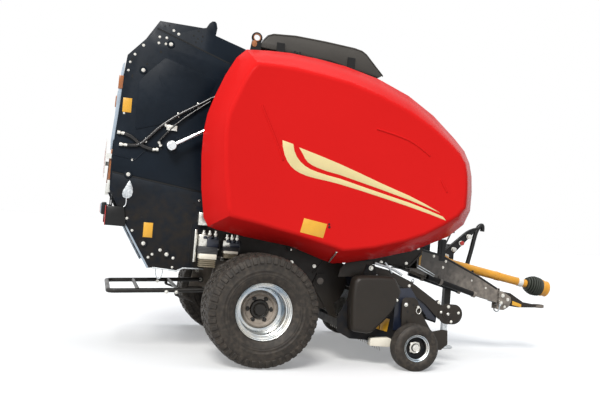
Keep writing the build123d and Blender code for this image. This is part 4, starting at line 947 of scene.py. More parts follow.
class BALER_OT_tailgate(bpy.types.Operator):
    """Tailgate sides: folded sheets, raised panels, bolts, black discs and strips painted as the shade in the
    holes and the shadow along the creases, and blank labels
    """

    bl_idname = "baler.tailgate"
    bl_label = "Tailgate sides"

    def execute(self, context):
        sheets = [
            plate("sheet", tailgate_outline, SHEET_IN, SHEET_OUT, 1.5),
            plate("panel", side_panel, SHEET_OUT + 1, FOLD_OUT, 4.5),
            plate("raised", inner_panel, FOLD_OUT + 1, FOLD_OUT - 4, 3.5),
            plate("low", low_panel, SHEET_OUT + 1, LOW_OUT, 2.5),
        ]
        ridge_lines = (
            [(-1262, 1652), (-1085, 1626), (-1010, 1712), (-900, 1745)], [(-948, 2358), (-907, 2270)],
            [(-774, 2399), (-734, 2326)],
        )
        for row in ridge_lines:
            sheets.append(tube("ridge", [(x, FOLD_OUT + 0.5, z) for x, z in row], 5, 2))
        # the seam of the lower sheet, and the bushed eye at the lift rod's pin
        seam = [(-572, 745), (-562, 745), (-562, 1120), (-572, 1120)]
        boss = [(0, 20), (0, 58), (8, 56), (12, 40), (75, 38), (76, 20)]
        sheets += [
            plate("seam", seam, SHEET_OUT - 1, FOLD_OUT, 1),
            turned("boss", boss, place(LIFT_EYE[0], SHEET_OUT, LIFT_EYE[1]), RIGHT, steps=36),
        ]
        paired(joined("tailgate_sheets", sheets), ON_TAILGATE, PANEL_DARK, "tailgate_side")
        rows = [(x, y - 0.2, z, half * 0.74) for y, spots in panel_bolts.items() for x, z, half in spots]
        paired(bolts("tailgate_bolts", rows), ON_TAILGATE, ZINC)
        # black discs at the holes: painted shade inside the holes
        holes = [
            plate("hole", rounded(*spot), y + 2, y - 0.6, 0)
            for y, spots in panel_holes.items()
            for spot in spots
        ]
        # black strips along the panels' creases: painted shadow in the crease lines
        crease_shadows = (
            [(-996, 2758), (-988, 2768), (-346, 2549), (-350, 2539)],
            [(-1262, 1504), (-1262, 1516), (-508, 1410), (-508, 1399)],
        )
        holes += [plate("groove", row, SHEET_OUT + 1, SHEET_OUT - 1, 0) for row in crease_shadows]
        paired(joined("tailgate_holes", holes), ON_TAILGATE, BLACK)
        high = [(-1222, 2020), (-1150, 2020), (-1150, 2140), (-1222, 2140)]
        low = [(-968, 983), (-891, 983), (-891, 1108), (-968, 1108)]
        labels = [
            plate("label", high, FOLD_OUT + 1, FOLD_OUT - 1, 0.3),
            plate("label", low, SHEET_OUT - 2, SHEET_OUT - 4, 0.3),
        ]
        paired(joined("tailgate_labels", labels), ON_TAILGATE, LABEL)
        drop = [
            (-1112, 1452), (-1098, 1425), (-1084, 1390), (-1080, 1355), (-1086, 1322), (-1104, 1302),
            (-1132, 1296), (-1156, 1306), (-1166, 1330), (-1160, 1362), (-1140, 1402), (-1124, 1436),
        ]
        tear = plate("drop", drop, SHEET_OUT - 2, SHEET_OUT - 8, 2)
        hook = ((-1128, 1, 1305), (-1126, 7, 1270), (-1130, 7, 1235), (-1146, 7, 1222))
        hook = tube("hook", [(x, FOLD_OUT - out, z) for x, out, z in hook], 5)
        paired(joined("tailgate_drop_plate", [tear, hook]), ON_TAILGATE, GALVANISED)
        self.edges()
        return {"FINISHED"}

    def edges(self):
        """Edge strips painted pale as a highlight of the brightly lit edge, the lower lip, the wire bracket and
        the reflector.
        """
        rear = [
            (-1232, 2440), (-1248, 2420), (-1259, 2330), (-1264, 2142), (-1282, 1860), (-1278, 1780),
            (-1262, 1780), (-1242, 2142),
        ]
        lower = [
            (-1140, 1128), (-1152, 1118), (-1000, 862), (-915, 722), (-903, 722), (-903, 735), (-1120, 1090),
        ]
        # the edge strips' pale blue-grey is a painted highlight for the brightly lit rear edge
        strips = [plate("edge", rear, -612, EDGE_OUT, 2), plate("edge", lower, -606, EDGE_OUT, 2)]
        paired(joined("tailgate_edge_strips", strips), ON_TAILGATE, ("board_white", "pale_sheet"))
        lip = [
            (-872, 722), (-761, 716), (-668, 706), (-611, 735), (-436, 738), (-436, 748), (-613, 746),
            (-669, 718), (-760, 728), (-872, 734),
        ]
        wire = ((-838, 722), (-838, 640), (-780, 640), (-780, 722))
        wire = tube("wire", [(x, SHEET_OUT - 1, z) for x, z in wire], 4, 3)
        lip = plate("lip", lip, SHEET_IN + 6, SHEET_OUT - 13, 1.5)
        paired(joined("tailgate_lip", [lip, wire]), ON_TAILGATE, GALVANISED)
        reflector = plate(
            "tailgate_reflector", [(-1236, 2215), (-1272, 2210), (-1270, 2325), (-1232, 2325)], SHEET_IN - 2,
            SHEET_OUT - 1, 2,
        )
        paired(reflector, ON_TAILGATE, REFLECTOR)


# ---------------------------------------------------------------- lift cylinders and hoses
# the cylinders' two pins: forwards of the axle and up; stations of their middle plane and of the hoses
LIFT_TOP = (270, 2400)
LIFT_EYE = (-800, 1770)
LIFT_OUT = -745
HOSE_OUT = -661


class BALER_OT_lift(bpy.types.Operator):
    """Lift cylinders with polished rods, and the hoses and fittings along the tailgate"""

    bl_idname = "baler.lift"
    bl_label = "Lift cylinders and hoses"

    def execute(self, context):
        sizes = context.scene.baler_sizes
        run = Vector((LIFT_EYE[0] - LIFT_TOP[0], 0, LIFT_EYE[1] - LIFT_TOP[1]))
        length = run.length
        top = place(LIFT_TOP[0], LIFT_OUT, LIFT_TOP[1])
        eye = place(LIFT_EYE[0], LIFT_OUT, LIFT_EYE[1])
        barrel = turned(
            "lift_barrel_tube",
            [
                (44, 0), (44, 33), (52, 35), (790, 35), (794, 38), (828, 38), (831, 36), (831, 18.6),
                (800, 18.6), (800, 26), (80, 26), (80, 0),
            ],
            top, run, steps=40,
        )
        ring = turned("eye", [(-28, 20.5), (-28, 52), (28, 52), (28, 20.5)], top, RIGHT, steps=40)
        ports = [
            turned(
                "port", [(0, 0), (0, 13), (16, 13), (16, 10), (30, 10), (30, 0)],
                top + run.normalized() * along * MM + Vector((0, 0, 34 * MM)), (0.5, 0, 0.86), steps=20,
            )
            for along in (110, 765)
        ]
        paired(
            joined("lift_barrel_tube", [barrel, ring] + ports), ("lift_barrel_right", "lift_barrel_left"),
            BLACK, "lift_barrel",
        )
        rod = turned(
            "lift_rod_shaft",
            [(112, 0), (112, 25.5), (150, 25.5), (150, 18), (length - 36, 18), (length - 36, 0)], top, run,
            steps=36,
        )
        eye_ring = turned(
            "rod_eye", [(-28, 20.3), (-28, 36), (-25, 40), (25, 40), (28, 36), (28, 20.3)], eye, RIGHT,
            steps=36,
        )
        pin = turned(
            "rod_pin", [(-26, 0), (-26, 19.7), (30, 19.7), (34, 24), (40, 22), (41, 0)], eye, RIGHT, steps=30,
        )
        paired(
            joined("lift_rod_shaft", [rod, eye_ring, pin]), ("lift_rod_right", "lift_rod_left"),
            ("chrome_rod", "hard_chrome"), "lift_rod",
        )

        runs = (
            [
                (-400, 2262), (-476, 2232), (-549, 2178), (-671, 2103), (-751, 2050), (-892, 1940),
                (-982, 1836), (-1050, 1762), (-1100, 1745), (-1160, 1745),
            ],
            [(-1190, 1838), (-1140, 1826), (-1088, 1786), (-1030, 1742), (-950, 1728)],
        )
        hoses = [tube("hose", [(x, HOSE_OUT, z) for x, z in row], sizes.hose / MM) for row in runs]
        thin = tube(
            "hose",
            [
                (-500, -662, 2190), (-625, -668, 2092), (-730, -668, 2005), (-830, -666, 1900),
                (-905, -662, 1800),
            ],
            9,
        )
        paired(joined("tailgate_hoses", hoses + [thin]), ON_TAILGATE, HOSE)
        fittings = []
        for x, z, dx, dz, long in (
            (-1158, 1745, -1, 0, 66), (-1188, 1838, -1, 0.1, 60), (-952, 1728, 1, 0.1, 50),
            (-820, 1905, -0.7, 0.8, 70), (-905, 1800, 0.5, -0.8, 45),
        ):
            fittings.append(
                turned(
                    "fitting",
                    [
                        (0, 0), (0, 14), (long * 0.4, 14), (long * 0.42, 10), (long * 0.6, 10),
                        (long * 0.62, 16), (long, 16), (long, 0),
                    ],
                    place(x, HOSE_OUT, z), (dx, 0, dz), steps=12, angle=20,
                )
            )
        fittings.append(block("manifold", (-850, -672, 1905), (-760, -644, 1950), 4))
        for x, z in ((-600, 2148), (-760, 2044), (-1010, 1800)):
            fittings.append(block("clip", (x - 9, -670, z - 20), (x + 9, -643, z + 20), 3))
        paired(joined("hose_fittings", fittings), ON_TAILGATE, ZINC)
        return {"FINISHED"}


# ---------------------------------------------------------------- roof
FAIRING_HALF = 600


class BALER_OT_roof(bpy.types.Operator):
    """Roof fairing with ribs, a black band painted as the shadow under its front edge, brackets, strips, and
    the amber bushes and tags beside it
    """

    bl_idname = "baler.roof"
    bl_label = "Roof"

    def execute(self, context):
        outline = [
            (-113, 2737), (-72, 2800), (-30, 2852), (20, 2872), (223, 2885), (500, 2874), (787, 2853),
            (860, 2838), (905, 2812), (1081, 2637), (1033, 2612), (800, 2655), (558, 2705), (200, 2722),
        ]
        shell = plate("fairing_shell", outline, -FAIRING_HALF, FAIRING_HALF, 14)
        ribs = []
        for y in (-596, -200, 200, 596):
            top = [(x, z + 3) for x, z in outline[1:10]]
            band = top + [(x, z - 12) for x, z in reversed(top)]
            ribs.append(plate("rib", band, y - 7, y + 7, 2))
        whole("fairing_shell", [shell] + ribs, "chassis", ("grey_paint", "fairing_grey"), "roof_fairing")
        # black band under the fairing's front edge: painted shadow beneath the raised fairing
        under = [
            (1028, 2610), (800, 2653), (558, 2702), (400, 2716), (400, 2690), (558, 2676), (800, 2628),
            (1034, 2586),
        ]
        lip = plate("fairing_lip", under, -FAIRING_HALF - 6, FAIRING_HALF + 6, 3)
        finished(lip, "chassis", BLACK)
        bits = [block("bracket", (x - 14, -618, 2690), (x + 14, -590, 2745), 2) for x in (215, 262)]
        twinned("fairing_brackets", bits, "chassis", BLACK)
        bush = turned(
            "lifting_bush", [(0, 27), (0, 34), (10, 34), (10, 27)], place(-130, -612, 2815), RIGHT, steps=28,
        )
        tag = plate("tag", rounded(-150, 2758, 24, 30), -615, -621, 2)
        twinned("lifting_tags", [bush, tag], "chassis", ("guard_yellow", "amber_film"))
        strip = ((-118, 2745), (-80, 2812), (-40, 2856))
        strip = tube("strip", [(x, -FAIRING_HALF - 6, z) for x, z in strip], 6)
        finished(both(strip), "chassis", GALVANISED)
        return {"FINISHED"}


# ---------------------------------------------------------------- rear lamps and boards
# the lamps' and marker boards' middles, the boards' half width, low and high edge and back, the lamps' back
LAMP_OUT = 530
BOARD_OUT = 559
BOARD_HALF = 68
BOARD_LOW, BOARD_HIGH = 1503, 1777
BOARD_BACK = -1326.2
LAMP_BACK = -1322
STRIP_IN = -600  # inner station of the strips ahead of the marker boards
# the rollers' ends on the tailgate: forwards of the axle and up
roller_ends = [(-1080, 2390), (-1130, 1500), (-960, 930), (-760, 850), (-870, 2640)]


class BALER_OT_rear(bpy.types.Operator):
    """Lamps with lenses and edges, the marker boards' stripes, side brackets and roller ends"""

    bl_idname = "baler.rear"
    bl_label = "Rear lamps and boards"

    def execute(self, context):
        boxes, lenses, pale = [], [], []
        for side in (-1, 1):
            y = side * LAMP_OUT
            boxes.append(block("lamp", (LAMP_BACK, y - 112, 1148), (LAMP_BACK + 40, y + 112, 1252), 9))
            for group, ends in ((lenses, (-104, 30)), (pale, (36, 104))):
                low, high = sorted(y + side * end for end in ends)
                group.append(block("lens", (LAMP_BACK - 8, low, 1156), (LAMP_BACK + 4, high, 1244), 6))
        whole("lamp_boxes", boxes, "tailgate", BLACK, "rear_lamps")
        whole("lamp_lenses", lenses, "tailgate", LENS)
        whole("lamp_pale_lenses", pale, "tailgate", ("board_white", "pale_lens"))
        side = [(-1286, 1062), (-1122, 1060), (-1119, 1100), (-1140, 1224), (-1278, 1224)]
        finished(both(plate("lamp_side", side, SHEET_OUT - 1, SHEET_OUT - 23, 5)), "tailgate", BLACK)
        edge = [(-1292, 1060), (-1284, 1060), (-1284, 1226), (-1292, 1226)]
        finished(both(plate("lamp_side_edge", edge, SHEET_OUT - 2, SHEET_OUT - 25, 2)), "tailgate", LENS)
        amber = [(-1291, 1448), (-1262, 1448), (-1258, 1700), (-1283, 1700)]
        finished(both(plate("reflector_strip", amber, STRIP_IN, STRIP_IN - 12, 3)), "tailgate", REFLECTOR)
        bracket = [(-1296, 1336), (-1266, 1336), (-1264, 1440), (-1292, 1440)]
        finished(both(plate("lamp_bracket", bracket, STRIP_IN, STRIP_IN - 6, 2)), "tailgate", BOARD)

        # marker boards: slanting red film on the back of each, cut off at its low and high edge
        reds = []
        for side in (-1, 1):
            y = side * BOARD_OUT
            rise = side * 140 * 0.62
            for z in range(1475, 1785, 62):
                rest()
                bpy.ops.mesh.primitive_plane_add(size=1)
                film = context.object
                corners = [
                    (-BOARD_HALF, z), (BOARD_HALF, z + rise), (BOARD_HALF, z + rise + 31),
                    (-BOARD_HALF, z + 31),
                ]
                for vertex, (dy, up) in zip([film.data.vertices[i] for i in (0, 1, 3, 2)], corners):
                    vertex.co = place(BOARD_BACK, y + dy, min(max(up, BOARD_LOW), BOARD_HIGH))
                edit(film)
                bpy.ops.mesh.extrude_region_move(TRANSFORM_OT_translate={"value": (-1 * MM, 0, 0)})
                rest()
                tidied(film)
                reds.append(film)
        whole("board_stripes", reds, "tailgate", RED_FILM)

        end = [(0, 0), (0, 34), (8, 34), (12, 30), (12, 0)]
        bar = [turned("end", end, place(x, SHEET_OUT - 0.5, z), RIGHT, steps=24) for x, z in roller_ends]
        twinned("roller_ends", bar, "tailgate", PANEL_DARK)
        bolted("roller_end_bolts", [(x, SHEET_OUT - 12.5, z, 11) for x, z in roller_ends], "tailgate")
        return {"FINISHED"}


# ---------------------------------------------------------------- pickup
box_outline = [
    (803, 582), (808, 680), (823, 760), (850, 785), (931, 797), (1060, 803), (1165, 803), (1205, 780),
    (1250, 705), (1262, 676), (1245, 620), (1190, 487), (1110, 395), (1010, 300), (980, 292), (845, 305),
    (822, 325), (810, 440),
]
# stations across the machine: the pickup's side, its end boxes, the gauge wheels' arms, the height rods
PICKUP_SIDE = 905
BOX_IN, BOX_OUT = -914, -1050
ARM_IN, ARM_OUT = -985, -995
ROD_OUT = -PICKUP_SIDE - 3
CHAIN_LINKS = 6


class BALER_OT_pickup(bpy.types.Operator):
    """Pickup ends: rounded boxes, labels, shields, arms with holes, skids, rods, brackets and chains"""

    bl_idname = "baler.pickup"
    bl_label = "Pickup ends"

    def execute(self, context):
        middle_x, middle_z, share = 1030, 545, 0.9
        inset = [(middle_x + (x - middle_x) * share, middle_z + (z - middle_z) * share) for x, z in box_outline]
        box = lofted("end_box_shell", [(BOX_IN, box_outline), (BOX_OUT + 26, box_outline), (BOX_OUT, inset)])
        softened(box, 14, 4, 12)
        finished(both(box), "pickup", WALL_DARK, "pickup_end_boxes")
        bolted("end_box_bolts", [(1222, BOX_OUT + 9, 600, 8)], "pickup")
        outlines = (
            [(1130, 432), (1062, 341), (1120, 318)], [(1133, 428), (1217, 416), (1198, 303), (1128, 318)],
        )
        labels = [plate("label", row, BOX_IN + 1, BOX_IN - 0.5, 0.3) for row in outlines]
        twinned("pickup_labels", labels, "pickup", LABEL)
        skid = [(1022, 182), (1026, 250), (1200, 258), (1226, 244), (1228, 190), (1200, 176)]
        skid = plate("skid", skid, BOX_IN, ARM_IN, 6)
        finished(both(skid), "pickup", NYLON)
        navy = [
            (1262, 690), (1392, 706), (1440, 640), (1480, 540), (1500, 400), (1440, 330), (1250, 320),
            (1250, 560),
        ]
        navy = plate("side_shield", navy, BOX_IN, BOX_IN - 10, 3)
        finished(both(navy), "pickup", NAVY)

        # the gauge wheel's arm with its stay, spindle, holes and ring pin
        arm = [
            (1290, 600), (1316, 622), (1400, 626), (1440, 600), (1478, 500), (1596, 330), (1700, 352),
            (1752, 345), (1762, 220), (1700, 168), (1640, 166), (1560, 170), (1440, 170), (1340, 160),
            (1318, 200), (1300, 400),
        ]
        arm_piece = plate("gauge_arm_plate", arm, ARM_IN, ARM_OUT, 3)
        stay = block("stay", (1310, ARM_IN, 430), (1380, BOX_IN + 2, 570), 5)
        spindle = turned(
            "spindle", [(0, 0), (0, 12), (158, 12), (158, 0)], place(GAUGE_AT[0], ARM_IN - 5, GAUGE_AT[1]),
            RIGHT, steps=20,
        )
        twinned("gauge_arm_plate", [arm_piece, stay, spindle], "pickup", DULL_GREY, "gauge_arms")
        spots = ((1360, 590), (1400, 560), (1350, 500), (1400, 470), (1350, 410), (1400, 380), (1440, 520))
        # black discs at the arm's holes: painted shade inside the holes
        holes = [plate("hole", rounded(x, z, 11, 11, 14), ARM_OUT + 1, ARM_OUT - 1, 0) for x, z in spots]
        twinned("arm_holes", holes, "pickup", BLACK)
        rows = ((1592, 300, 11), (1640, 250, 11), (1330, 560, 12), (1330, 330, 12))
        bolted("arm_bolts", [(x, ARM_OUT, z, half) for x, z, half in rows], "pickup")
        ring = [(1450, 545), (1428, 530), (1428, 496), (1450, 480), (1472, 496), (1472, 530), (1452, 546)]
        ring = tube("ring", [(x, ARM_OUT - 9, z) for x, z in ring], 4)
        pin = turned(
            "pin", [(-24, 0), (-24, 9), (26, 9), (30, 13), (36, 12), (37, 0)], place(1440, ARM_IN + 5, 545),
            RIGHT, steps=18,
        )
        twinned("arm_ring_pin", [ring, pin], "pickup", ZINC)
        bent = [(1036, 905), (1132, 885), (1230, 856), (1304, 815)]
        low = [(1132, 916), (1171, 880), (1204, 826)]
        rods = [
            tube("height_rod", [(x, ROD_OUT, z) for x, z in row], half) for row, half in ((bent, 11), (low, 9))
        ]
        twinned("height_rods", rods, "pickup", GALVANISED)
        lug = [(706, 764), (722, 838), (772, 898), (860, 913), (1016, 922), (1022, 800), (860, 776)]
        bracket = plate("lift_bracket", lug, -PICKUP_SIDE + 1, -PICKUP_SIDE + 9)
        finished(both(bracket), "pickup", DULL_GREY)
        self.chain()
        return {"FINISHED"}

    def chain(self):
        """The lifting chains between the drawbar and the wind guard."""
        bow = ((0, 22), (12, 16), (12, -16), (0, -22), (-12, -16), (-12, 16), (0, 22))
        link = tube("link", [(x, 0, z) for x, z in bow], 4, 3, 2)
        link.data.transform(Matrix.Translation(-place(0, 0, 0)))
        top = place(1668, -300, 742)
        run = place(1640, -300, 570) - top
        aim = Vector((0, 0, -1)).rotation_difference(run).to_matrix().to_4x4()
        moves = []
        for i in range(CHAIN_LINKS):
            spot = top + run * (i + 0.5) / CHAIN_LINKS
            moves.append(Matrix.Translation(spot) @ aim @ Matrix.Rotation(pi / 2 * (i % 2), 4, "Z"))
        finished(both(copied("guard_chain", link, moves)), "wind_guard", GALVANISED)


CROP_ROLLER = (1780, 486)  # its middle: forwards of the axle and up
SHEET_HALF = 868  # half the deflector sheet's width
DISC = 93


class BALER_OT_wind_guard(bpy.types.Operator):
    """Wind guard: bolted bearing discs, deflector sheet, cheeks, flaps and the crop roller's ends"""

    bl_idname = "baler.wind_guard"
    bl_label = "Wind guard"

    def execute(self, context):
        turns = [pi / 12 * i for i in range(-6, 19)]
        egg = [((1838 if a < pi / 2 else CROP_ROLLER[0]) + DISC * cos(a), 484 + DISC * sin(a)) for a in turns]
        hub = turned(
            "disc", [(0, 14), (0, 52), (6, 50), (8, 34), (14, 32), (14, 14)],
            place(CROP_ROLLER[0], -PICKUP_SIDE, CROP_ROLLER[1]), RIGHT, steps=40,
        )
        twinned(
            "bearing_discs", [plate("disc", egg, 8 - PICKUP_SIDE, -PICKUP_SIDE, 3), hub], "wind_guard",
            DULL_GREY,
        )
        ends = turned(
            "roller_ends_cap", [(0, 0), (0, 13.5), (20, 13.5), (24, 9), (24, 0)],
            place(CROP_ROLLER[0], 4.5 - PICKUP_SIDE, CROP_ROLLER[1]), RIGHT, steps=24,
        )
        finished(both(ends), "crop_roller", ZINC)
        around = ((1785, 552, 10), (1890, 500, 9), (1822, 416, 9), (1715, 500, 8))
        around = [(x, -PICKUP_SIDE, z, half) for x, z, half in around]
        more = [(1690, -900, 588, 11), (1385, -900, 722, 9), (1002, -915, 860, 14)]
        bolted("wind_guard_bolts", around + more, "wind_guard")
        curve = [(1420, 688), (1540, 640), (1640, 562), (1682, 500), (1690, 440), (1684, 400)]
        sheet = curve + [(x - 6, z - 5) for x, z in reversed(curve)]
        finished(
            plate("deflector_sheet", sheet, -SHEET_HALF, SHEET_HALF, 1), "wind_guard",
            ("dark_paint", "stoving_black"),
        )
        cheek = [(1440, 672), (1540, 632), (1636, 558), (1676, 500), (1684, 410), (1600, 430), (1500, 560)]
        finished(both(plate("deflector_cheek", cheek, -SHEET_HALF - 2, -SHEET_HALF - 8, 1)), "wind_guard", NAVY)
        lip = [
            (1350, 706), (1430, 690), (1642, 564), (1690, 470), (1684, 462), (1636, 552), (1426, 676),
            (1350, 694),
        ]
        finished(both(plate("guard_flap", lip, -SHEET_HALF - 12, -SHEET_HALF - 4, 2)), "wind_guard", BLACK)
        return {"FINISHED"}


# ---------------------------------------------------------------- drawbar and hitch
DRAWBAR_TIP = 100  # half the drawbar's outer width at its front end


def drawbar_half(x):
    """Half the drawbar's outer width at a station, from its own node."""
    low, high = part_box("drawbar")
    rear = (low.x - AXLE) / MM
    front = (high.x - AXLE) / MM
    return high.y / MM + (x - rear) / (front - rear) * (DRAWBAR_TIP - high.y / MM)


class BALER_OT_drawbar(bpy.types.Operator):
    """Drawbar: bolts, rolled edges, pipes, brace lugs, posts and a blank triangle"""

    bl_idname = "baler.drawbar"
    bl_label = "Drawbar"

    def execute(self, context):
        rows = [
            (x, -drawbar_half(x) - 0.5, z, size)
            for x, z, size in (
                (1905, 985, 9), (2052, 940, 9), (2022, 878, 9), (1640, 1010, 8), (1640, 905, 8), (2380, 760, 7),
                (2560, 690, 8),
            )
        ]
        bolted("drawbar_bolts", rows, "chassis", Vector((0.149, -0.989, 0)))
        # rolled edge along the top of each side plate
        top = [(1580, 1064), (1700, 1050), (1990, 996), (2473, 798), (2700, 688)]
        edge = tube("drawbar_edges", [(x, -drawbar_half(x) + 5, z) for x, z in top], 12, 2, 3)
        finished(both(edge), "chassis", BLACK)
        line = ((1592, -12, 905), (1700, -12, 872), (1900, -10, 785), (1935, 8, 770))
        pipes = [
            tube("pipe", [(x, aside - drawbar_half(x), z + up) for x, aside, z in line], 7) for up in (0, 24)
        ]
        whole("drawbar_pipes", pipes, "chassis", GALVANISED)
        brace = []
        collar = [(-16, 26.2), (-16, 32), (16, 32), (16, 26.2)]
        for x, z in ((1990, 732), (2400, 622)):
            half = drawbar_half(x) + 26.5
            brace.append(turned("collar", collar, place(x, -half, z), (560, 83, -150), steps=28))
            brace.append(block("lug", (x - 14, -half + 20, z - 6), (x + 14, -half + 32, z + 60), 3))
        twinned("brace_lugs", brace, "chassis", CHASSIS_GREY)
        triangle = [(1759, 1035), (1675, 891), (1751, 879)]
        half = drawbar_half(1665)
        tag = plate("drawbar_label", triangle, -half - 1, -half - 3, 1)
        finished(tag, "chassis", LABEL)
        far = drawbar_half(1990)
        post = [
            block("post", (1706, -half - 10, 880), (1730, -half + 4, 1070), 3),
            block("post", (1955, -far - 4, 940), (2035, -far + 30, 1160), 6),
            block("post_rib", (1985, -far - 9, 960), (2005, -far + 4, 1140), 3),
        ]
        twinned("drawbar_posts", post, "chassis", BLACK)
        return {"FINISHED"}


class BALER_OT_hitch(bpy.types.Operator):
    """Hitch head: ribbed plate, cheeks, bolts, shackle, the eye's ring and blank labels"""

    bl_idname = "baler.hitch"
    bl_label = "Hitch head"

    def execute(self, context):
        ribs = []
        for z in range(556, 662, 15):
            ribs += [block("rib", (2712, y - 4, z), (2744, y + 4, z + 8), 2) for y in (-100, 100)]
        head = block("head", (2706, -99, 538), (2742, 99, 694), 6)
        cheek = [(2740, 470), (2740, 668), (2800, 660), (2896, 606), (2904, 560), (2880, 500), (2820, 462)]
        cheeks = [plate("cheek", cheek, side * 42, side * 62, 4) for side in (-1, 1)]
        whole("hitch_plate", [head] + ribs + cheeks, "chassis", CHASSIS_GREY)
        rows = [(2743.5, y, z, 12) for y in (-74, 74) for z in (565, 615, 665)]
        finished(bolts("hitch_bolts", rows, (1, 0, 0)), "chassis", ZINC)
        rows = [(2800, -62.5, 618, 14), (2786, -62.5, 540, 13), (2862, -62.5, 578, 12), (2830, -62.5, 500, 10)]
        bolted("tongue_bolts", rows, "chassis")
        label = [(2930, 565), (3040, 533), (3040, 500), (2930, 522)]
        finished(both(plate("hitch_label", label, -40, -41, 0.3)), "chassis", LABEL)
        bend = ((-62, 520), (-64, 470), (-30, 440), (30, 440), (64, 470), (62, 520))
        shackle = tube("shackle", [(2768, y, z) for y, z in bend], 7)
        bolt = turned(
            "pin", [(-76, 0), (-76, 13), (-64, 13), (-64, 8), (66, 8), (66, 12), (76, 12), (76, 0)],
            place(2768, 0, 516), RIGHT, steps=20,
        )
        whole("hitch_shackle", [shackle, bolt], "chassis", GALVANISED)
        ring = turned(
            "hitch_ring", [(-17, 25.6), (-17, 52), (-12, 60), (12, 60), (17, 52), (17, 25.6)],
            place(3268, 0, 522), (0, 0, 1), steps=48,
        )
        finished(ring, "chassis", CAST)
        return {"FINISHED"}


RACK_MIDDLE = 96  # station of the rack's middle plane


class BALER_OT_hose_rack(bpy.types.Operator):
    """Parking rack's sockets, caps and edge rod, and the hanger of the drive shaft"""

    bl_idname = "baler.hose_rack"
    bl_label = "Hose rack"

    def execute(self, context):
        silver, red, white = [], [], []
        socket = [(0, 0), (0, 25), (5, 25), (7, 20), (18, 18), (20, 21), (28, 21), (28, 0)]
        lid = [(28, 0), (28, 23), (34, 23), (36, 18), (36, 0)]
        for x, z, group in ((2180, 985, white), (2262, 1060, white), (2344, 1133, red), (2426, 1208, white)):
            for side in (1, -1):
                spot = place(x, RACK_MIDDLE + side * 4, z)
                silver.append(turned("socket", socket, spot, (0, side, 0), steps=26))
            group.append(turned("cap", lid, spot, RIGHT, steps=26))
        whole("rack_sockets", silver, "chassis", ZINC)
        whole("rack_caps_red", red, "chassis", RED_FILM)
        whole("rack_caps_white", white, "chassis", BOARD)
        rim = [(2060, 930), (2130, 1012), (2300, 1162), (2440, 1288), (2532, 1302)]
        rod = tube("rack_edge", [(x, RACK_MIDDLE, z) for x, z in rim], 13)
        finished(rod, "chassis", BLACK)
        hanger = tube(
            "hanger_rod",
            [
                (2590, 110, 1275), (2596, 110, 1345), (2550, 110, 1330), (2518, 108, 1270), (2496, 104, 1180),
                (2470, 96, 1060), (2440, 88, 950), (2420, 82, 870),
            ],
            24,
        )
        bend = ((82, 890), (78, 838), (66, 808), (-66, 808), (-76, 838), (-76, 862))
        cradle = tube("hanger_cradle", [(2420, y, z) for y, z in bend], 12)
        whole("hanger_rod", [hanger, cradle], "chassis", BLACK, "shaft_hanger")
        return {"FINISHED"}


# ---------------------------------------------------------------- drive shaft
# the shaft's line: forwards of the axle and up
SHAFT_START = (2000, 949)
SHAFT_END = (3378, 703.5)
shaft_run = Vector((SHAFT_END[0] - SHAFT_START[0], 0, SHAFT_END[1] - SHAFT_START[1]))


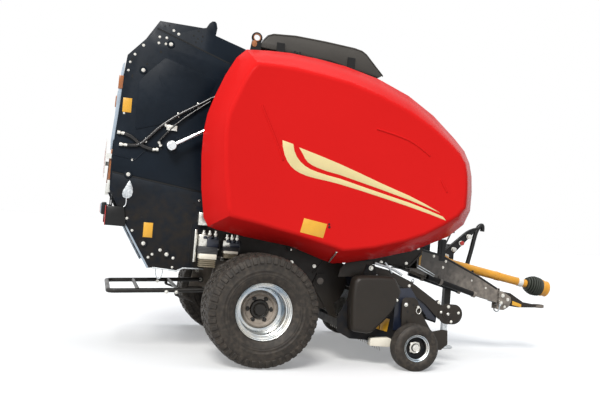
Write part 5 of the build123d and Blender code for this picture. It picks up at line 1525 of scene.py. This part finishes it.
class BALER_OT_drive_shaft(bpy.types.Operator):
    """Drive shaft: yellow guards with ribs, white band, ribbed bellows, yellow collar and yoke"""

    bl_idname = "baler.drive_shaft"
    bl_label = "Drive shaft"

    def execute(self, context):
        start = place(SHAFT_START[0], 0, SHAFT_START[1])

        def along(name, profile, steps=44):
            return turned(name, profile, start, shaft_run, steps)

        rear = along(
            "rear_guard_tube",
            [
                (30, 40), (30, 66), (34, 72), (60, 70), (64, 74), (72, 74), (76, 69), (110, 67), (114, 71),
                (122, 71), (126, 65), (150, 62), (165, 50), (200, 46), (204, 48.5), (216, 48.5), (220, 45),
                (730, 45), (734, 48), (758, 48), (760, 46), (760, 41), (170, 41), (150, 52), (60, 52), (40, 40),
            ],
        )
        finished(rear, "shaft_rear", GUARD, "rear_shaft_guard")
        front = along(
            "front_guard_tube",
            [
                (300, 34.2), (300, 40.2), (765, 40.2), (765, 44), (768, 46), (790, 46), (793, 43.5),
                (1000, 42.5), (1150, 42.5), (1152, 46), (1170, 46), (1170, 34.2),
            ],
        )
        liners = [along("bearing", [(a, 16.4), (a, 35), (a + 20, 35), (a + 20, 16.4)], 32) for a in (320, 1150)]
        whole("front_guard_tube", [front] + liners, "shaft_front", GUARD, "front_shaft_guard")
        ring = [(1010, 42), (1010, 46.5), (1016, 48), (1058, 48), (1064, 46.5), (1064, 42)]
        band = along("white_band", ring, 40)
        finished(band, "shaft_front", BOARD)
        folds = [(1112, 43)]
        for i, wide in enumerate((70, 84, 94, 100, 100, 98, 94)):
            a = 1118 + i * 24
            folds += [(a, wide), (a + 11, wide + 3), (a + 14, wide - 12), (a + 22, wide - 12)]
        folds += [(1288, 86), (1292, 86), (1292, 78), (1130, 60), (1112, 40)]
        bellows = along("shaft_bellows", folds)
        finished(bellows, "shaft_front", ("black_paint", "bellows_rubber"))
        collar = along(
            "shaft_collar",
            [
                (1290, 70), (1290, 82), (1298, 88), (1316, 88), (1320, 81), (1350, 80), (1354, 84), (1366, 84),
                (1374, 76), (1374, 62), (1290, 56),
            ],
        )
        finished(collar, "shaft_front", GUARD)
        yoke = along(
            "yoke_body",
            [
                (1296, 0), (1296, 44), (1302, 49), (1326, 49), (1332, 42), (1340, 40), (1350, 44), (1362, 46),
                (1376, 46), (1382, 40), (1396, 39), (1400, 37), (1400, 17.8), (1332, 17.8), (1332, 0),
            ],
            40,
        )
        core = along("core", [(330, 0), (330, 16), (1300, 16), (1300, 0)], 28)
        whole("yoke_body", [yoke, core], "drive_yoke", ("zinc_hub", "worked_steel"), "drive_yoke")
        pins = bolts("yoke_pin", [(0, 0, 0, 7)], (0, 0, 1))
        spot = start + shaft_run.normalized() * 1.352 + Vector((0.006, 0, 0.044))
        pins.data.transform(Matrix.Translation(spot - place(0, 0, 0)))
        finished(pins, "drive_yoke", ZINC)
        return {"FINISHED"}


# ---------------------------------------------------------------- driveline, jack and oil units
WALL_OUT = -625  # station of the right chamber wall's outer face
DRIVE_CASE_OUT = 733  # station of the side drive case's outer face, on the left
GEAR_CIRCLE = 80
# rollers' bearings on the chamber walls: forwards of the axle, up, radius
bearings = [
    (1400, 1450, 52), (1270, 2030, 52), (790, 1010, 56), (330, 1010, 60), (950, 1150, 52), (-360, 900, 54),
]


def housing(x, y, z, size, depth, direction):
    """A bearing housing: a stepped disc with a hub in its middle."""
    profile = [(0, 20), (0, size), (10, size), (14, size - 8), (18, 30), (depth, 26), (depth, 0)]
    return turned("housing", profile, place(x, y, z), direction, steps=32)


class BALER_OT_driveline(bpy.types.Operator):
    """Gearbox fins and bolts, and the rollers' bearing housings on both sides"""

    bl_idname = "baler.driveline"
    bl_label = "Gearbox and side drive"

    def execute(self, context):
        fins = []
        for x in range(1702, 1918, 24):
            fins.append(block("fin", (x, -88, 1126), (x + 8, 88, 1146), 2))
            fins += [block("fin", (x, y - 5, 900), (x + 8, y + 5, 1090), 2) for y in (-95, 95)]
        flange = turned(
            "flange", [(0, 60), (0, 92), (14, 92), (14, 60)], place(1915, 0, SHAFT_START[1]), (1, 0, -0.178),
            steps=36,
        )
        whole("gearbox_fins", fins + [flange], "chassis", CAST)
        turns = [2 * pi * i / 8 for i in range(8)]
        rows = [(1929.5, GEAR_CIRCLE * sin(a), SHAFT_START[1] + GEAR_CIRCLE * cos(a), 8) for a in turns]
        rows.append((1930, 0, 1040, 12))
        finished(bolts("gearbox_bolts", rows, (1, 0, 0)), "chassis", ZINC)

        on_case = ((1250, 1120, 70), (620, 700, 92))
        left = [housing(x, DRIVE_CASE_OUT, z, size, 30, LEFT) for x, z, size in on_case]
        left += [housing(x, -WALL_OUT, z, size, 30, LEFT) for x, z, size in bearings]
        whole("bearing_housings", left, "chassis", CAST)
        # the right-hand housings, on the near side, take the wall's dark enamel instead of the cast grey of the
        # left-hand ones: painted shade
        right = [housing(x, WALL_OUT, z, size, 26, RIGHT) for x, z, size in bearings]
        whole("right_bearing_housings", right, "chassis", WALL_DARK)
        heads = []
        for x, z, size in bearings:
            heads += circled(x, WALL_OUT - 12, z, size - 16, 3, 8, 0.5)
        bolted("housing_bolts", heads, "chassis")
        return {"FINISHED"}


JACK_AT = (2300, 262)  # forwards of the axle and to the left


class BALER_OT_jack(bpy.types.Operator):
    """Parking jack: crank handle with its knob, gear cap, collar and ribbed foot"""

    bl_idname = "baler.jack"
    bl_label = "Parking jack"

    def execute(self, context):
        x, y = JACK_AT
        cap = block("cap", (x - 40, y - 40, 1096), (x + 40, y + 40, 1112), 6)
        collar = block("collar", (x - 41, y - 41, 312), (x + 41, y + 41, 336), 4)
        gear = turned(
            "gear", [(0, 0), (0, 30), (16, 30), (20, 22), (20, 0)], place(x, y + 34, 1060), LEFT, steps=28,
        )
        bend = (
            (0, 150, 1060), (0, 160, 1062), (6, 160, 1075), (60, 160, 1200), (66, 160, 1214), (66, 172, 1216),
            (66, 250, 1216),
        )
        arm = tube("arm", [(x + dx, y + dy, z) for dx, dy, z in bend], 8, 3)
        whole("jack_crank", [cap, collar, gear, arm], "chassis", BLACK)
        knob = turned(
            "jack_knob", [(0, 9), (0, 15), (6, 18), (70, 18), (76, 14), (76, 9)], place(x + 66, y + 172, 1216),
            LEFT, steps=24,
        )
        finished(knob, "chassis", HOSE)
        foot = turned(
            "foot", [(9, 0), (9, 104), (14, 106), (20, 102), (18, 96), (14, 94), (14, 0)], place(x, y, 0),
            (0, 0, 1), steps=40,
        )
        ribs = [block("rib", (x - a, y - b, 10), (x + a, y + b, 24), 2) for a, b in ((78, 4), (4, 78))]
        whole("jack_foot", [foot] + ribs, "jack_leg", GALVANISED)
        return {"FINISHED"}


UNIT_OUT = -748  # station of the units' outer faces


def stacked(name, x, low, high, half, count, shrink):
    """A boxy ribbed body behind the wheel, in mm: square plates with narrower ones between."""
    pitch = (high - low) / count
    plates = [block("core", (x - half + shrink, UNIT_OUT + shrink, low), (x + half - shrink, -630, high), 2)]
    for i in range(count):
        z = low + i * pitch
        plates.append(block("rib", (x - half, UNIT_OUT, z), (x + half, -632, z + 0.58 * pitch), 3))
    return joined(name, plates)


class BALER_OT_oil_units(bpy.types.Operator):
    """Two units on a shelf behind the wheel, with knobs and pipes; what they are is guessed"""

    bl_idname = "baler.oil_units"
    bl_label = "Oil units"

    def execute(self, context):
        shelf = [
            block("shelf", (-425, -700, 838), (-120, -626, 848), 2),
            block("shelf", (-425, -640, 760), (-395, -626, 1060), 2),
            block("shelf", (-150, -640, 780), (-120, -626, 1010), 2),
        ]
        twinned("oil_shelf", shelf, "chassis", BLACK)
        units = ((-421, 766, 1103, 84), (-226, 856, 1040, 72))
        base, band, body, knobs, posts = [], [], [], [], []
        for x, low, high, half in units:
            tall = high - low
            waist = low + 0.2 * tall
            chest = low + 0.34 * tall
            head = low + 0.52 * tall
            base.append(stacked("base", x, low, waist, half - 14, 4, 7))
            band.append(block("band", (x - half + 8, UNIT_OUT - 4, waist), (x + half - 8, -640, chest), 8))
            body.append(stacked("body", x, chest, head, half, 5, 6))
            posts.append(block("plinth", (x - half, -735, head), (x + half * 0.2, -640, head + 0.3 * tall), 5))
            low_end, high_end = (x - 0.2 * half, UNIT_OUT - 4, head), (x + half, -650, head + 0.22 * tall)
            knobs.append(block("knob_box", low_end, high_end, 8))
            knob = [(0, 0), (0, 17), (6, 20), (20, 20), (24, 15), (24, 0)]
            post = [(0, 0), (0, 13), (26, 13), (28, 18), (44, 18), (46, 11), (66, 11), (66, 0)]
            for i in range(3):
                spot = place(x + (i - 0.7) * 0.52 * half, UNIT_OUT + 10, head + 0.2 * tall)
                knobs.append(turned("knob", knob, spot, (0, 0, 1), steps=20))
                spot = place(x + (i - 0.9) * 0.6 * half, UNIT_OUT + 32, head + 0.22 * tall)
                posts.append(turned("post", post, spot, (0, 0, 1), steps=18))
        posts.append(block("bracket", (-520, -700, 1120), (-420, -640, 1230), 6))
        posts.append(block("bracket", (-536, -660, 800), (-512, -640, 1080), 4))
        twinned("oil_bases", base, "chassis", ("zinc_hub", "beige_nylon"))
        twinned("oil_bodies", body, "chassis", CAST)
        twinned("oil_bands", band, "chassis", NYLON)
        twinned("oil_knobs", knobs, "chassis", NAVY)
        twinned("oil_posts", posts, "chassis", ZINC)
        runs = (
            [
                (-378, -724, 1095), (-370, -724, 1130), (-300, -700, 1150), (-200, -660, 1180),
                (-190, -640, 1240),
            ],
            [(-200, -724, 1040), (-196, -724, 1075), (-150, -690, 1110), (-60, -650, 1130), (-20, -640, 1180)],
        )
        pipes = [tube("pipe", run, 7) for run in runs]
        twinned("oil_pipes", pipes, "chassis", HOSE)
        return {"FINISHED"}


# ---------------------------------------------------------------- frame, net box and ramp detail
BRACKET_OUT = -642  # station just outside the axle brackets
RAMP_OUT = -556  # station of the bale ramp's outer bolts
# just inside the front faces of the front guard and the net box, forwards of the axle
GUARD_FRONT = 1591
NET_FRONT = 1914


class BALER_OT_frame_detail(bpy.types.Operator):
    """Wall bolts and folds, front guard ribs, net box ribs, lid handles, ramp clamps and bolts"""

    bl_idname = "baler.frame_detail"
    bl_label = "Frame detail"

    def execute(self, context):
        near = ((341, 850, 12), (120, 846, 11), (-280, 840, 11), (-330, 640, 11))
        wall = (
            (560, 830, 11), (900, 905, 10), (1200, 905, 10), (1450, 910, 10), (1560, 1060, 10),
            (1560, 1400, 10), (1560, 1700, 10), (1400, 2100, 10), (1000, 2390, 10), (500, 2530, 10),
            (0, 2560, 10),
        )
        rows = [(x, BRACKET_OUT, z, half) for x, z, half in near]
        rows += [(x, WALL_OUT - 1, z, half) for x, z, half in wall]
        bolted("wall_bolts", rows, "chassis")
        line = ((545, 762), (640, 892), (1480, 892), (1586, 1010))
        fold = tube("wall_folds", [(x, WALL_OUT - 2, z) for x, z in line], 6, 2)
        finished(both(fold), "chassis", WALL_DARK)
        ribs = []
        for y in range(-450, 451, 150):
            ends = ((1100, 1215), (1660, 1860))
            ribs += [block("rib", (GUARD_FRONT, y - 22, a), (GUARD_FRONT + 7, y + 22, b), 3) for a, b in ends]
        whole("front_guard_ribs", ribs, "chassis", PANEL_DARK)
        trims = []
        for y in range(-560, 561, 280):
            trims.append(block("stiffener", (NET_FRONT, y - 14, 1250), (NET_FRONT + 7, y + 14, 1600), 3))
        for z in (1300, 1560):
            trims.append(block("stiffener", (NET_FRONT, -600, z), (NET_FRONT + 5, 600, z + 14), 2))
        whole("net_box_ribs", trims, "chassis", PANEL_DARK)
        bow = ((1928, -70), (1950, -70), (1956, -60), (1956, 60), (1950, 70), (1928, 70))
        handle = [tube("handle", [(x, y + dy, 1600) for x, dy in bow], 6, 2) for y in (-330, 330)]
        whole("net_lid_handles", handle, "net_lid", GALVANISED)

        clamp = turned(
            "clamp", [(-14, 20.4), (-14, 27), (14, 27), (14, 20.4)], place(-640, -535, 525), (1, 0, 0.06),
            steps=24,
        )
        point = plate("point", [(-640, 508), (-520, 478), (-470, 430), (-520, 452), (-650, 490)], -530, -540, 2)
        twinned("ramp_clamps", [clamp, point], "ramp", BLACK)
        rows = [(-725, RAMP_OUT, 520, 11), (-640, RAMP_OUT - 6, 524, 10)]
        bolted("ramp_bolts", rows, "ramp")
        rows = [(-300, RAMP_OUT - 8, 560, 12)]
        bolted("ramp_pin_heads", rows, "ramp")
        return {"FINISHED"}


# ---------------------------------------------------------------- stage
# the camera: its eye, how far it turns from left to front, looks up and leans, its lens and its shift
EYE = place(-1358, -7548, 1199)
YAW = radians(17.13)
PITCH = radians(1.2)
ROLL = radians(4.59)
FOCUS = 47.53  # mm on a 36 mm sensor
SHIFT = (-0.0693, 0.0178)


def looked_at(tree):
    """1 for rays from the camera and for those that mirror or pass through, else 0."""
    rays = add(tree, "ShaderNodeLightPath").outputs
    seen = maths(tree, "MAXIMUM", rays["Is Camera Ray"], rays["Is Glossy Ray"])
    return maths(tree, "MAXIMUM", seen, rays["Is Transmission Ray"])


class BALER_OT_stage(bpy.types.Operator):
    """Pale floor, soft light and the camera at the right rear of the machine"""

    bl_idname = "baler.stage"
    bl_label = "Stage"

    def execute(self, context):
        scene = context.scene
        rest()
        bpy.ops.mesh.primitive_plane_add(size=160, location=(0, 0, 0))
        floor = context.object
        floor.name = "floor"
        edit(floor)
        bpy.ops.mesh.subdivide(number_cuts=4)
        rest()
        # the floor is matt white vinyl: it keeps the shadow and melts into the backdrop far off
        tree, shader, _ = started("matt_vinyl_floor")
        fed(tree, shader, {"Base Color": linear("#ececeb"), "Roughness": 0.9})
        seen = looked_at(tree)
        dull = add(tree, "ShaderNodeBsdfDiffuse", {"Color": linear("#aaa5a0")})
        glow = add(tree, "ShaderNodeEmission", {"Color": (1, 1, 1, 1), "Strength": 1.0})
        pale = add(tree, "ShaderNodeMixShader", {0: 0.25, 1: shader.outputs[0], 2: glow.outputs[0]})
        blend = add(tree, "ShaderNodeMixShader", {0: seen, 1: dull.outputs[0], 2: pale.outputs[0]})
        fed(tree, tree.nodes["Material Output"], {"Surface": blend.outputs[0]})
        floor.data.materials.append(bpy.data.materials["matt_vinyl_floor"])

        world = bpy.data.worlds.new("studio")
        scene.world = world
        world.use_nodes = True
        tree = world.node_tree
        tree.nodes.clear()
        around = add(tree, "ShaderNodeTexCoord").outputs["Generated"]
        height = add(tree, "ShaderNodeSeparateXYZ", {"Vector": around}).outputs["Z"]
        sky = mixed(tree, ranged(tree, height, -0.1, 0.7), linear("#d8d4ce"), linear("#bfd6f2"))
        soft = add(tree, "ShaderNodeBackground", {"Color": sky, "Strength": 0.38})
        white = add(tree, "ShaderNodeBackground", {"Color": (1, 1, 1, 1), "Strength": 1.0})
        both_lights = add(
            tree, "ShaderNodeMixShader", {0: looked_at(tree), 1: soft.outputs[0], 2: white.outputs[0]},
        )
        add(tree, "ShaderNodeOutputWorld", {"Surface": both_lights.outputs[0]})

        for name, direction, strength, angle, shade in (
            ("key", (0.3, 0.7, -0.64), 3.1, 20, (1, 0.985, 0.96)),
            ("top", (-0.15, -0.12, -0.98), 1.4, 60, (1, 1, 1)),
            ("edge", (0.86, 0.3, -0.42), 1.1, 50, (1, 0.99, 0.97)),
        ):
            light = bpy.data.lights.new(name, "SUN")
            light.energy = strength
            light.angle = radians(angle)
            light.color = shade
            lamp = bpy.data.objects.new(name, light)
            lamp.rotation_euler = Vector(direction).to_track_quat("-Z", "Y").to_euler()
            scene.collection.objects.link(lamp)

        camera = bpy.data.cameras.new("camera")
        camera.lens = FOCUS
        camera.sensor_width = 36
        camera.shift_x, camera.shift_y = SHIFT
        camera.clip_end = 400
        look = Vector((sin(YAW) * cos(PITCH), cos(YAW) * cos(PITCH), sin(PITCH)))
        across = Vector((cos(YAW), -sin(YAW), 0))
        over = across.cross(look)
        right = across * cos(ROLL) + over * sin(ROLL)
        up = over * cos(ROLL) - across * sin(ROLL)
        view = bpy.data.objects.new("camera", camera)
        turn = Matrix((right, up, -look)).transposed().to_4x4()
        view.matrix_world = Matrix.Translation(EYE) @ turn
        scene.collection.objects.link(view)
        scene.camera = view
        scene.view_settings.view_transform = "Standard"
        return {"FINISHED"}


OPERATORS = (
    BALER_OT_stage, BALER_OT_finishes, BALER_OT_road_wheels, BALER_OT_gauge_wheels, BALER_OT_covers,
    BALER_OT_tailgate, BALER_OT_lift, BALER_OT_roof, BALER_OT_rear, BALER_OT_pickup, BALER_OT_wind_guard,
    BALER_OT_drawbar, BALER_OT_hitch, BALER_OT_hose_rack, BALER_OT_drive_shaft, BALER_OT_driveline,
    BALER_OT_jack, BALER_OT_oil_units, BALER_OT_frame_detail,
)


class BALER_PT_panel(bpy.types.Panel):
    """Sizes, colours and the pieces in the order they are made"""

    bl_idname = "BALER_PT_panel"
    bl_label = "Round baler"
    bl_space_type = "VIEW_3D"
    bl_region_type = "UI"
    bl_category = "Baler"

    def draw(self, context):
        for group in (context.scene.baler_sizes, context.scene.baler_colours):
            for name in group.__annotations__:
                self.layout.prop(group, name)
        for operator in OPERATORS:
            self.layout.operator(operator.bl_idname)


CLASSES = (BalerSizes, BalerColours, *OPERATORS, BALER_PT_panel)


def register():
    for item in CLASSES:
        bpy.utils.register_class(item)
    bpy.types.Scene.baler_sizes = bpy.props.PointerProperty(type=BalerSizes)
    bpy.types.Scene.baler_colours = bpy.props.PointerProperty(type=BalerColours)


def unregister():
    del bpy.types.Scene.baler_colours
    del bpy.types.Scene.baler_sizes
    for item in reversed(CLASSES):
        bpy.utils.unregister_class(item)


def main():
    """Make every piece in order."""
    register()
    rest()
    for operator in OPERATORS:
        group, name = operator.bl_idname.split(".")
        getattr(getattr(bpy.ops, group), name)()


if __name__ == "__main__":
    main()
